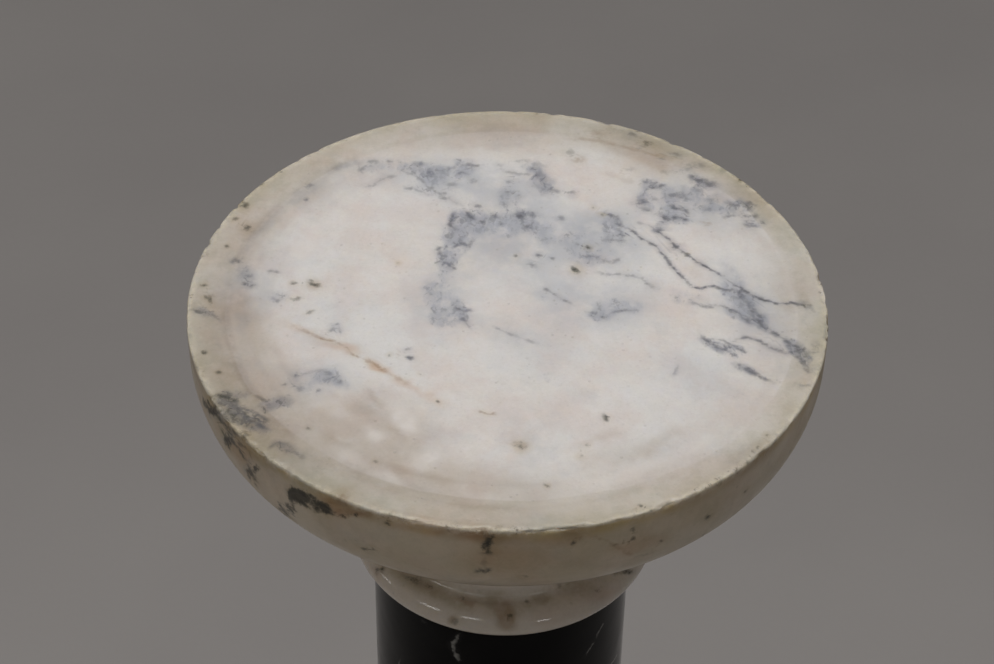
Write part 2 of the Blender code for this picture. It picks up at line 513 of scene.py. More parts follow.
def buildLooseVeins():
    # veins and clouds for the faces that no mark is placed on
    group, given, out = newGroup("looseVeins", (
        ("Position", "Vector", None), ("Spacing", "Float", 0.12), ("Line Width", "Float", 0.001),
        ("Share", "Float", 0.5)), (("Line", "Float"), ("Cloud", "Float")))
    sizes = looseSizes
    bent = given["Position"]
    for waveSize, reach in (sizes["wander"], sizes["tremor"]):
        bent = useGroup(group, stoneWarp, position=bent, waveSize=waveSize, reach=reach)["Position"]
    cracks = addNode(group, "ShaderNodeTexVoronoi", feature="DISTANCE_TO_EDGE")
    feed(group, cracks.inputs["Vector"], bent)
    feed(group, cracks.inputs["Scale"], calc(group, "DIVIDE", 1.0, given["Spacing"]))
    ridge = calc(group, "MULTIPLY", cracks.outputs["Distance"], given["Spacing"])
    places = noiseOf(group, given["Position"], sizes["places"], detail=2.0).outputs[0]
    shown = ramp(group, places, calc(group, "SUBTRACT", 1.0, given["Share"]),
                 calc(group, "SUBTRACT", 1.12, given["Share"]))
    swell = noiseOf(group, given["Position"], sizes["swell"], detail=4.0, roughness=0.65).outputs[0]
    width = calc(group, "MULTIPLY", given["Line Width"], ramp(group, swell, 0.35, 0.68, 0.35, 1.9))
    line = ramp(group, calc(group, "DIVIDE", ridge, width), 0.2, 1.0, 1.0, 0.0)
    feed(group, out["Line"], calc(group, "MULTIPLY", line, shown))
    cloud = ramp(group, calc(group, "DIVIDE", ridge, given["Line Width"]), 0.0, 14.0, 1.0, 0.0)
    thick = noiseOf(group, bent, sizes["thick"], detail=2.0).outputs[0]
    feed(group, out["Cloud"], calc(group, "MULTIPLY", calc(group, "MULTIPLY", cloud, shown),
                                   ramp(group, thick, 0.4, 0.65)))
    return group


groundSizes = {"drift": 0.05, "mottle": 0.009, "crystals": 0.0015}
groundTones = {
    "warm": (0.81, 0.765, 0.73), "cool": (0.80, 0.782, 0.768), "mottle": (0.73, 0.72, 0.70),
    "bright": (0.90, 0.88, 0.86), "dull": (0.60, 0.575, 0.54),
}


def buildGround():
    # the white stone itself: warm and cool drifts with a fine translucent mottling
    group, given, out = newGroup("marbleGround", (
        ("Position", "Vector", None), ("Warm", "Color", (*groundTones["warm"], 1)),
        ("Cool", "Color", (*groundTones["cool"], 1))), (("Color", "Color"),))
    sizes, tones = groundSizes, groundTones
    drift = noiseOf(group, given["Position"], sizes["drift"], detail=3.0).outputs[0]
    colour = blendColour(group, ramp(group, drift, 0.38, 0.62), given["Warm"], given["Cool"])
    mottle = noiseOf(group, given["Position"], sizes["mottle"], detail=4.0, roughness=0.6).outputs[0]
    colour = blendColour(group, ramp(group, mottle, 0.35, 0.7, 0.0, 0.35), colour, tones["mottle"])
    crystals = noiseOf(group, given["Position"], sizes["crystals"], detail=3.0, roughness=0.7).outputs[0]
    colour = blendColour(group, ramp(group, crystals, 0.5, 0.72, 0.0, 0.3), colour, tones["bright"])
    colour = blendColour(group, ramp(group, crystals, 0.3, 0.46, 0.22, 0.0), colour, tones["dull"])
    feed(group, out["Color"], colour)
    return group


wearSizes = {
    "drift": 0.025, "scratches": 0.0012, "waves": 0.018,
    "pitsPerMetre": 260.0, "pitPatches": 0.014,
    "scratchDepth": 0.00003, "waveDepth": 0.0007, "pitDepth": 0.00025,
}


def buildWear():
    # rubbing and handling: duller drifts, fine scratches and small open pits
    group, given, out = newGroup("handWear", (
        ("Position", "Vector", None), ("Polished", "Float", 0.3), ("Worn", "Float", 0.5),
        ("Pits", "Float", 0.4)), (("Roughness", "Float"), ("Height", "Float"), ("Pitting", "Float")))
    sizes = wearSizes
    drift = noiseOf(group, given["Position"], sizes["drift"], detail=4.0, roughness=0.6).outputs[0]
    feed(group, out["Roughness"], ramp(group, drift, 0.35, 0.68, given["Polished"], given["Worn"]))
    fine = noiseOf(group, given["Position"], sizes["scratches"], detail=2.0).outputs[0]
    dots = addNode(group, "ShaderNodeTexVoronoi")
    feed(group, dots.inputs["Vector"], given["Position"])
    dots.inputs["Scale"].default_value = sizes["pitsPerMetre"]
    picked = noiseOf(group, given["Position"], sizes["pitPatches"], detail=2.0).outputs[0]
    pits = calc(group, "MULTIPLY", ramp(group, dots.outputs["Distance"], 0.08, 0.24, 1.0, 0.0),
                ramp(group, picked, 0.5, 0.68))
    pits = calc(group, "MULTIPLY", pits, given["Pits"])
    feed(group, out["Pitting"], pits)
    waves = noiseOf(group, given["Position"], sizes["waves"], detail=2.0).outputs[0]
    height = calc(group, "ADD", calc(group, "MULTIPLY", fine, sizes["scratchDepth"]),
                  calc(group, "MULTIPLY", waves, sizes["waveDepth"]))
    sunk = calc(group, "MULTIPLY", pits, sizes["pitDepth"])
    feed(group, out["Height"], calc(group, "SUBTRACT", height, sunk))
    return group


stoneWarp = buildWarp()
veinStroke = buildStroke()
veinCloud = buildCloud()
looseVeins = buildLooseVeins()
marbleGround = buildGround()
handWear = buildWear()
print("shader groups built:", len(bpy.data.node_groups) - 1)


def newMaterial(name):
    material = bpy.data.materials.new(name)
    material.use_nodes = True
    tree = material.node_tree
    place = tree.nodes.new("ShaderNodeTexCoord").outputs["Object"]
    parts = addNode(tree, "ShaderNodeSeparateXYZ")
    tree.links.new(place, parts.inputs[0])
    return material, tree, tree.nodes["Principled BSDF"], place, parts.outputs


def painted(tree, name):
    node = addNode(tree, "ShaderNodeAttribute", attribute_name=name, attribute_type="GEOMETRY")
    return node.outputs


def paintedStroke(tree, place, raggedness):
    return useGroup(tree, veinStroke, position=place, way=painted(tree, "veinWay")["Vector"],
                    gap=painted(tree, "veinGap")["Fac"], width=painted(tree, "veinWidth")["Fac"],
                    shade=painted(tree, "veinShade")["Fac"], raggedness=raggedness)


def bumped(tree, shader, height):
    bump = addNode(tree, "ShaderNodeBump")
    bump.inputs["Strength"].default_value = 1.0
    bump.inputs["Distance"].default_value = 1.0
    feed(tree, bump.inputs["Height"], height)
    tree.links.new(bump.outputs[0], shader.inputs["Normal"])


veinTints = [(0.0, (0.145, 0.148, 0.172)), (0.5, (0.035, 0.04, 0.03)), (1.0, (0.30, 0.17, 0.085))]


def tintRamp(tree, value):
    node = addNode(tree, "ShaderNodeValToRGB")
    feed(tree, node.inputs[0], value)
    steps = node.color_ramp.elements
    steps.new(0.5)
    for step, (place, colour) in zip(steps, veinTints):
        step.position = place
        step.color = (*colour, 1.0)
    return node.outputs[0]


def stained(tree, amount, colour, stain):
    # darkens a colour as a thin glaze does
    return blendColour(tree, amount, colour, stain, way="MULTIPLY")


whiteTones = {
    # glazes over the stone; the underside, groove and low-down glazes are painted shade
    "rosy": (0.965, 0.925, 0.915), "greyer": (0.90, 0.915, 0.935), "drip": (0.96, 0.86, 0.52),
    "oldDrip": (0.66, 0.53, 0.34), "underside": (0.50, 0.44, 0.33), "groove": (0.60, 0.57, 0.45),
    "lowDown": (0.82, 0.83, 0.82), "stain": (0.67, 0.60, 0.525), "rust": (0.72, 0.44, 0.24),
    "blueHalo": (0.64, 0.65, 0.69), "darkHalo": (0.80, 0.74, 0.60), "rim": (0.67, 0.635, 0.47),
    "band": (0.80, 0.77, 0.70), "mottle": (0.80, 0.81, 0.76), "ring": (0.76, 0.745, 0.745),
    # colours that cover it; the pale colour also serves as a painted sheen, the grime and the dirt also as
    # painted shade
    "cloud": (0.41, 0.42, 0.475), "grain": (0.16, 0.162, 0.182), "line": (0.20, 0.20, 0.22),
    "haze": (0.49, 0.51, 0.555), "pale": (0.84, 0.80, 0.765), "grime": (0.042, 0.036, 0.024),
    "dirt": (0.13, 0.10, 0.06), "pit": (0.20, 0.17, 0.13),
}


layerStrengths = {"cloud": 0.86, "grain": 0.58, "line": 0.7, "haze": 0.85, "grime": 0.92, "pit": 0.35}


def covered(tree, amount, colour, layer):
    # lays one of the covering layers over a colour
    strength = calc(tree, "MULTIPLY", amount, layerStrengths[layer])
    return blendColour(tree, strength, colour, whiteTones[layer])


whiteWaves = {
    # widths of the waves that break each layer up
    "rosy": 0.022, "greyer": 0.034, "drip": 0.012, "dripAge": 0.035, "dust": 0.02, "haze": 0.014,
    "stain": 0.016, "grime": 0.0042, "uneven": 0.03, "patchy": 0.06, "mottle": 0.010, "streaks": 0.03,
    "crumbs": 0.0034, "knocks": 0.022,
}


def blotchedGround(tree, place):
    # faint rosy and grey blotches all through the white
    colour = useGroup(tree, marbleGround, position=place)["Color"]
    rosy = noiseOf(tree, place, whiteWaves["rosy"], detail=5.0, roughness=0.62).outputs[0]
    colour = stained(tree, ramp(tree, rosy, 0.42, 0.66), colour, whiteTones["rosy"])
    greyer = noiseOf(tree, place, whiteWaves["greyer"], detail=5.0, roughness=0.6).outputs[0]
    return stained(tree, ramp(tree, greyer, 0.5, 0.7), colour, whiteTones["greyer"])


def bandUnderArris(tree, place, parts, colour, onFlat, top):
    # a yellow to olive-brown band just under the arris, broken up by noise
    under = ramp(tree, parts["Z"], top - 0.009, top - 0.002)
    under = calc(tree, "MULTIPLY", under, calc(tree, "SUBTRACT", 1.0, onFlat))
    drip = noiseOf(tree, place, whiteWaves["drip"], detail=4.0, roughness=0.6).outputs[0]
    under = calc(tree, "MULTIPLY", under, ramp(tree, drip, 0.3, 0.65, 0.15, 0.9))
    bandHue = noiseOf(tree, place, whiteWaves["dripAge"], detail=2.0).outputs[0]
    olive = blendColour(tree, ramp(tree, bandHue, 0.42, 0.58), whiteTones["drip"], whiteTones["oldDrip"])
    return stained(tree, under, colour, olive)


def paintedShadeBelow(tree, place, parts, colour, sizes):
    # painted shade: a thin dark band low on the bulge where its lower contour is seen, darkening in the
    # collar's groove, and a darker collar below the polish line
    shadeStart, shadeEnd = sizes["shade"]
    lowest = calc(tree, "MULTIPLY", ramp(tree, parts["Z"], shadeStart, shadeEnd, 0.7, 0.0),
                  ramp(tree, parts["Z"], shadeStart - 0.008, shadeStart - 0.002))
    colour = stained(tree, lowest, colour, whiteTones["underside"])
    offGroove = calc(tree, "ABSOLUTE", calc(tree, "SUBTRACT", parts["Z"], sizes["grooveZ"]))
    dust = noiseOf(tree, place, whiteWaves["dust"], detail=4.0, roughness=0.6).outputs[0]
    grooveShade = calc(tree, "MULTIPLY", ramp(tree, dust, 0.36, 0.6, 0.15, 1.0),
                    ramp(tree, offGroove, 0.0008, 0.0048, 0.8, 0.0))
    colour = stained(tree, grooveShade, colour, whiteTones["groove"])
    # painted shade over the collar below the polish line
    lowDown = ramp(tree, parts["Z"], sizes["polishBelow"] - 0.003, sizes["polishBelow"] + 0.010, 1.0, 0.0)
    return stained(tree, lowDown, colour, whiteTones["lowDown"])


def cloudsAndLooseVeins(tree, place, parts, colour, onFlat, sizes):
    # veins that run through the stone without a placed route, and the placed clouds
    loose = useGroup(tree, looseVeins, position=place, spacing=sizes["spacing"], lineWidth=sizes["lineWidth"],
                     share=sizes["share"])
    unplaced = ramp(tree, parts["Y"], *sizes["looseFrom"])
    if sizes["flatTop"]:
        unplaced = calc(tree, "MULTIPLY", unplaced, calc(tree, "SUBTRACT", 1.0, onFlat))
    looseLine = calc(tree, "MULTIPLY", loose["Line"], unplaced)
    density = calc(tree, "MULTIPLY", loose["Cloud"], unplaced)
    if sizes["painted"]:
        density = calc(tree, "ADD", density, painted(tree, "greyCloud")["Fac"])
    cloud = useGroup(tree, veinCloud, position=place, density=density)
    for amount, layer in ((cloud["Haze"], "cloud"), (cloud["Strokes"], "grain"), (looseLine, "line")):
        colour = covered(tree, amount, colour, layer)
    return colour


def placedMarks(tree, place, colour):
    # the painted layers, from the palest to the darkest
    # pale blue-grey haze, and painted shade along the rings of the top
    drifting = noiseOf(tree, place, whiteWaves["haze"], detail=5.0, roughness=0.6).outputs[0]
    drifting = ramp(tree, drifting, 0.32, 0.6, 0.35, 1.0)
    haze = calc(tree, "MULTIPLY", painted(tree, "paleHaze")["Fac"], drifting)
    colour = covered(tree, haze, colour, "haze")
    stain = painted(tree, "stain")["Fac"]
    bent = useGroup(tree, stoneWarp, position=place, waveSize=0.012, reach=0.004)["Position"]
    blotchy = noiseOf(tree, bent, whiteWaves["stain"], detail=4.0, roughness=0.55).outputs[0]
    level = calc(tree, "ADD", blotchy, calc(tree, "MULTIPLY", stain, 0.35))
    stain = calc(tree, "MULTIPLY", stain, ramp(tree, level, 0.5, 0.68, 0.75, 1.12), clamp=True)
    colour = stained(tree, stain, colour, whiteTones["stain"])
    # pale patches, and a painted sheen in a band near the front edge
    pale = calc(tree, "MULTIPLY", painted(tree, "palePatch")["Fac"], ramp(tree, blotchy, 0.4, 0.6, 0.5, 1.0))
    colour = blendColour(tree, pale, colour, whiteTones["pale"])
    colour = stained(tree, painted(tree, "rust")["Fac"], colour, whiteTones["rust"])
    stroke = paintedStroke(tree, place, 0.0005)
    hue = painted(tree, "veinTint")["Fac"]
    halo = blendColour(tree, ramp(tree, hue, 0.1, 0.4), whiteTones["blueHalo"], whiteTones["darkHalo"])
    colour = stained(tree, stroke["Halo"], colour, halo)
    colour = blendColour(tree, stroke["Mask"], colour, tintRamp(tree, hue))
    # dark grime blotches, and painted shade along the collar's groove and under the bulge's lower edge
    placed = painted(tree, "grime")["Fac"]
    patchy = noiseOf(tree, place, whiteWaves["grime"], detail=5.0, roughness=0.72).outputs[0]
    grime = calc(tree, "MULTIPLY_ADD", calc(tree, "SUBTRACT", patchy, 0.5), 2.0, placed)
    grime = calc(tree, "MULTIPLY", ramp(tree, grime, 0.3, 0.85), ramp(tree, placed, 0.02, 0.25))
    return covered(tree, grime, colour, "grime")


def wornRim(tree, place, parts, colour, fromRim, sizes):
    # yellowed towards the edge, with a darker raised rim, and painted shade along the ring steps on the top
    uneven = noiseOf(tree, place, whiteWaves["uneven"], detail=3.0).outputs[0]
    rim = calc(tree, "MULTIPLY", ramp(tree, fromRim, 0.0, 0.015, 1.0, 0.0),
               ramp(tree, uneven, 0.35, 0.65, 0.5, 1.0))
    colour = stained(tree, calc(tree, "MULTIPLY", rim, sizes["rimStain"]), colour, whiteTones["rim"])
    wander = calc(tree, "ADD", fromRim, calc(tree, "MULTIPLY", calc(tree, "SUBTRACT", uneven, 0.5), 0.004))
    patchy = noiseOf(tree, place, whiteWaves["patchy"], detail=2.0).outputs[0]
    patchy = ramp(tree, patchy, 0.38, 0.6, 0.25, 1.0)
    # the raised rim is wider on the left than on the right
    rimWidth = ramp(tree, parts["X"], 0.03, 0.10, sizes["rimWidth"], sizes["rimWidth"] * 0.78)
    offStep = calc(tree, "SUBTRACT", wander, rimWidth)
    band = calc(tree, "MULTIPLY", ramp(tree, offStep, -0.0006, 0.0006, 0.62, 0.0), patchy)
    band = calc(tree, "ADD", band, ramp(tree, wander, 0.008, 0.045, 0.5, 0.0))
    colour = stained(tree, calc(tree, "MULTIPLY", band, sizes["bandStain"]), colour, whiteTones["band"])
    mottle = noiseOf(tree, place, whiteWaves["mottle"], detail=5.0, roughness=0.66).outputs[0]
    mottle = calc(tree, "MULTIPLY", ramp(tree, mottle, 0.44, 0.62, 0.0, 0.5),
                  ramp(tree, offStep, -0.003, 0.001, 1.0, 0.0))
    colour = stained(tree, calc(tree, "MULTIPLY", mottle, sizes["bandStain"]), colour, whiteTones["mottle"])
    streaky = noiseOf(tree, place, whiteWaves["streaks"], detail=5.0, roughness=0.65).outputs[0]
    streaky = ramp(tree, streaky, 0.4, 0.62)
    # painted shade along each ring step, strongest on the left and faint on the right
    for groove, halfWidth, amount in sizes["grooves"]:
        offLine = calc(tree, "ABSOLUTE", calc(tree, "SUBTRACT", wander, groove))
        line = ramp(tree, calc(tree, "DIVIDE", offLine, halfWidth), 0.15, 1.0, amount, 0.0)
        line = calc(tree, "MULTIPLY", line, ramp(tree, parts["X"], -0.09, 0.0, 1.0, 0.25))
        colour = stained(tree, calc(tree, "MULTIPLY", line, streaky), colour, whiteTones["ring"])
    return colour


def crumbledArris(tree, place, colour, nearEdge, crumbs, chalk):
    # fresh stone where the edge was knocked, with a painted highlight along the lit edge, and dirt with
    # painted shade in the oldest chips
    knocks = noiseOf(tree, place, whiteWaves["knocks"], detail=4.0, roughness=0.6).outputs[0]
    chalkyAndLit = calc(tree, "MULTIPLY", nearEdge, ramp(tree, crumbs, 0.42, 0.62, 0.12, 0.6))
    chalkyAndLit = calc(tree, "MULTIPLY", chalkyAndLit, ramp(tree, knocks, 0.4, 0.58, 0.4, 1.0))
    colour = blendColour(tree, chalkyAndLit, colour, chalk)
    dirtyAndShaded = calc(tree, "MULTIPLY", nearEdge, ramp(tree, crumbs, 0.33, 0.42, 0.85, 0.0))
    dirtyAndShaded = calc(tree, "MULTIPLY", dirtyAndShaded, ramp(tree, knocks, 0.47, 0.58))
    return blendColour(tree, dirtyAndShaded, colour, whiteTones["dirt"])


def whiteMarble(name, sizes):
    material, tree, shader, place, parts = newMaterial(name)
    colour = blotchedGround(tree, place)
    wear = useGroup(tree, handWear, position=place, polished=sizes["polished"], worn=sizes["worn"],
                    pits=sizes["pits"])
    onFlat = 0.0
    if sizes["flatTop"]:
        onFlat = ramp(tree, parts["Z"], sizes["flatTop"] - 0.0022, sizes["flatTop"] - 0.0008)
        # the sides take the side tone, darker and yellower than the top: partly patina, partly painted warm
        # light bounced up from the floor
        colour = blendColour(tree, onFlat, stained(tree, 1.0, colour, sizes["sideTone"]), colour)
        colour = bandUnderArris(tree, place, parts, colour, onFlat, sizes["flatTop"])
    else:
        colour = stained(tree, 1.0, colour, sizes["sideTone"])
    colour = paintedShadeBelow(tree, place, parts, colour, sizes)
    colour = cloudsAndLooseVeins(tree, place, parts, colour, onFlat, sizes)
    if sizes["painted"]:
        colour = placedMarks(tree, place, colour)

    radius = vectorCalc(tree, "LENGTH", joined(tree, parts["X"], parts["Y"]))
    fromRim = calc(tree, "SUBTRACT", sizes["rimRadius"], radius)
    colour = wornRim(tree, place, parts, colour, fromRim, sizes)
    fromArris = joined(tree, fromRim, calc(tree, "SUBTRACT", parts["Z"], sizes["arrisZ"]))
    nearEdge = ramp(tree, vectorCalc(tree, "LENGTH", fromArris), 0.0006, 0.0044, 1.0, 0.0)
    crumbs = noiseOf(tree, place, whiteWaves["crumbs"], detail=4.0, roughness=0.68).outputs[0]
    colour = crumbledArris(tree, place, colour, nearEdge, crumbs, sizes["chalk"])
    colour = covered(tree, wear["Pitting"], colour, "pit")
    feed(tree, shader.inputs["Base Color"], colour)

    # hands have never reached the collar, so it keeps its polish
    sheltered = ramp(tree, parts["Z"], sizes["polishBelow"] - 0.003, sizes["polishBelow"], 0.3, 1.0)
    feed(tree, shader.inputs["Roughness"], calc(tree, "MULTIPLY", wear["Roughness"], sheltered))
    shader.inputs["IOR"].default_value = 1.5
    shader.inputs["Subsurface Weight"].default_value = 0.25    # light seeps through the arris
    shader.inputs["Subsurface Radius"].default_value = (1.0, 0.85, 0.5)
    shader.inputs["Subsurface Scale"].default_value = 0.004
    crumbled = calc(tree, "MULTIPLY", calc(tree, "MULTIPLY", nearEdge, crumbs), 0.0006)
    bumped(tree, shader, calc(tree, "ADD", calc(tree, "MULTIPLY", wear["Height"], sheltered), crumbled))
    return material


blackTones = {
    "ground": (0.0012, 0.0012, 0.0013), "drift": (0.0035, 0.0033, 0.0032), "line": (0.42, 0.41, 0.38),
    "halo": (0.035, 0.034, 0.032), "vein": (0.46, 0.45, 0.42),
}


def blackMarble(name, sizes):
    material, tree, shader, place, parts = newMaterial(name)
    drift = noiseOf(tree, place, 0.05, detail=4.0).outputs[0]
    colour = blendColour(tree, ramp(tree, drift, 0.35, 0.7), blackTones["ground"], blackTones["drift"])
    loose = useGroup(tree, looseVeins, position=place, spacing=sizes["spacing"], lineWidth=sizes["lineWidth"],
                     share=sizes["share"])
    below = ramp(tree, parts["Z"], sizes["looseBelow"] - 0.02, sizes["looseBelow"] + 0.02, 1.0, 0.0)
    behind = ramp(tree, parts["Y"], 0.0, 0.03)
    finer = sizes["finer"]
    fine = useGroup(tree, looseVeins, position=place, spacing=sizes["spacing"] * finer,
                    lineWidth=sizes["lineWidth"] * finer, share=sizes["share"] - 0.08)
    lines = calc(tree, "MAXIMUM", loose["Line"], calc(tree, "MULTIPLY", fine["Line"], 0.5))
    lines = calc(tree, "MULTIPLY", lines, calc(tree, "MAXIMUM", below, behind))
    colour = blendColour(tree, calc(tree, "MULTIPLY", lines, 0.55), colour, blackTones["line"])
    stroke = paintedStroke(tree, place, 0.0002)
    colour = blendColour(tree, stroke["Halo"], colour, blackTones["halo"])
    colour = blendColour(tree, stroke["Mask"], colour, blackTones["vein"])
    feed(tree, shader.inputs["Base Color"], colour)
    smears = noiseOf(tree, place, 0.02, detail=4.0, roughness=0.65).outputs[0]
    feed(tree, shader.inputs["Roughness"], ramp(tree, smears, 0.4, 0.7, sizes["polished"], sizes["worn"]))
    shader.inputs["IOR"].default_value = 1.4
    shader.inputs["Specular IOR Level"].default_value = 0.1
    waves = noiseOf(tree, place, 0.03, detail=2.0).outputs[0]
    bumped(tree, shader, calc(tree, "MULTIPLY", waves, 0.0003))
    return material


capitalMarbleSizes = {
    "polished": 0.30, "worn": 0.50, "pits": 0.5, "flatTop": topHeight, "sideTone": (0.91, 0.835, 0.74),
    "spacing": 0.10, "lineWidth": 0.0009, "share": 0.5, "looseFrom": (-0.03, 0.03), "painted": True,
    "rimRadius": 0.14, "rimWidth": 0.0172, "rimStain": 0.55, "bandStain": 0.8,
    # painted shade along the ring steps: from the edge, half width, strength
    "grooves": ((0.0176, 0.0034, 0.8), (0.0267, 0.0026, 0.2), (0.0360, 0.0024, 0.22)),
    "polishBelow": 0.925, "chalk": (0.80, 0.73, 0.58), "shade": (1.0060, 1.0100),
    "grooveZ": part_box("capital")[0].z + 0.0185, "arrisZ": topHeight,
}
baseMarbleSizes = {
    "polished": 0.22, "worn": 0.45, "pits": 0.4, "flatTop": None, "sideTone": (1.0, 0.93, 0.82),
    "spacing": 0.11, "lineWidth": 0.0010, "share": 0.52, "looseFrom": (-1.1, -1.0), "painted": False,
    "rimRadius": 0.14, "rimWidth": 0.0, "rimStain": 0.35, "bandStain": 0.3, "grooves": (),
    "polishBelow": 0.0, "chalk": (0.80, 0.76, 0.68), "shade": (-1.0, -0.9),
    "grooveZ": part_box("base")[1].z - 0.0185, "arrisZ": 0.0,
}
shaftMarbleSizes = {"polished": 0.10, "worn": 0.2, "spacing": 0.13, "lineWidth": 0.0009, "share": 0.5,
                    "finer": 0.4, "looseBelow": 0.85}

capital = makeCapital(whiteMarble("capitalMarble", capitalMarbleSizes))
base = makeBase(whiteMarble("baseMarble", baseMarbleSizes))
shaft = makeShaft(blackMarble("shaftMarble", shaftMarbleSizes))


# Marks placed from the photograph's pixels and painted onto the stones as attributes

blue, dark, brown = 0.0, 0.5, 1.0    # the tints of a mark
pixelSize = 0.00044                   # metres on the top for one pixel


def surfaceFinder(stone):
    tree = BVHTree.FromObject(stone, bpy.context.evaluated_depsgraph_get())

    def find(pixel):
        return tree.ray_cast(*sightLine(pixel))[0] or onTop(pixel)
    return find


def paintPlaces(stone):
    places = np.empty(len(stone.data.vertices) * 3)
    stone.data.vertices.foreach_get("co", places)
    return places.reshape(-1, 3)


def storePaint(stone, name, values):
    kind = "FLOAT_VECTOR" if values.ndim == 2 else "FLOAT"
    layer = stone.data.attributes.new(name, kind, "POINT")
    layer.data.foreach_set("vector" if values.ndim == 2 else "value", values.ravel())


fadeSizes = {"share": 0.1, "faintest": 0.3}    # how a vein dies out at its two ends


def paintVeins(stone, marks):
    # each point of the mesh keeps the way to its nearest vein, so that fine lines stay sharp
    find = surfaceFinder(stone)
    places = paintPlaces(stone)
    best = np.full(len(places), 1.0)
    way = np.ones((len(places), 3))
    gap = np.ones(len(places))
    width = np.full(len(places), 0.0005)
    shade = np.zeros(len(places))
    tint = np.zeros(len(places))
    for halfWidth, strength, hue, route in marks:
        line = [np.array(find(pixel)) for pixel in route]
        line = line if len(line) > 1 else line * 2
        lengths = [np.linalg.norm(second - first) for first, second in zip(line, line[1:])]
        total = max(sum(lengths), 1e-6)
        for number, (first, second) in enumerate(zip(line, line[1:])):
            span = second - first
            along = np.clip((places - first) @ span / max(span @ span, 1e-12), 0, 1)
            away = places - first - along[:, None] * span
            distance = np.linalg.norm(away, axis=1)
            score = distance - halfWidth * pixelSize
            nearer = score < best
            best[nearer] = score[nearer]
            way[nearer] = away[nearer]
            gap[nearer] = distance[nearer]
            width[nearer] = halfWidth * pixelSize
            run = (sum(lengths[:number]) + along * lengths[number]) / total
            fade = np.ones(len(places))
            if len(route) > 1:
                fade = np.clip(np.minimum(run, 1 - run) / fadeSizes["share"], fadeSizes["faintest"], 1)
            shade[nearer] = strength * fade[nearer]
            tint[nearer] = hue
    for name, values in (("veinWay", way), ("veinGap", gap), ("veinWidth", width), ("veinShade", shade),
                         ("veinTint", tint)):
        storePaint(stone, name, values)


patchSizes = {
    "wander": 0.003,         # how far the outlines wander, in metres
    "wideWaves": 90,         # waves per metre
    "narrowWaves": 230,
    "depth": 0.012,          # how deep a patch reaches into the stone, in metres
    "outline": 1.15,         # where a patch ends, in its own half sizes
    "softness": 0.75,
    "falloff": 1.5,
    "seed": 7,               # the wander is the same in each run
}


def driftAt(place):
    # how the outline of a patch wanders at a place
    wide = noise.noise_vector(place * patchSizes["wideWaves"])
    return wide + 0.5 * noise.noise_vector(place * patchSizes["narrowWaves"])


def paintPatches(stone, name, patches):
    # soft ellipses given by middle pixel, half sizes, turn in degrees and strength
    sizes = patchSizes
    noise.seed_set(sizes["seed"])
    find = surfaceFinder(stone)
    places = paintPlaces(stone)
    places = places + np.array([driftAt(Vector(place)) for place in places]) * sizes["wander"]
    clear = np.ones(len(places))
    for x, y, halfLong, halfWide, turn, strength in patches:
        middle = np.array(find((x, y)))
        angle = math.radians(turn)
        along = (math.cos(angle), math.sin(angle))
        axes = []
        for reach, (right, down) in ((halfLong, along), (halfWide, (-along[1], along[0]))):
            beside = np.array(find((x + 2 * right, y + 2 * down)))
            axes.append((beside - middle) / 2 * reach)
        through = np.cross(*axes)
        through *= sizes["depth"] / np.linalg.norm(through)
        local = (places - middle) @ np.linalg.inv(np.array([*axes, through]))
        inside = sizes["outline"] - np.linalg.norm(local, axis=1)
        clear *= 1 - strength * np.clip(inside / sizes["softness"], 0, 1) ** sizes["falloff"]
    storePaint(stone, name, 1 - clear)


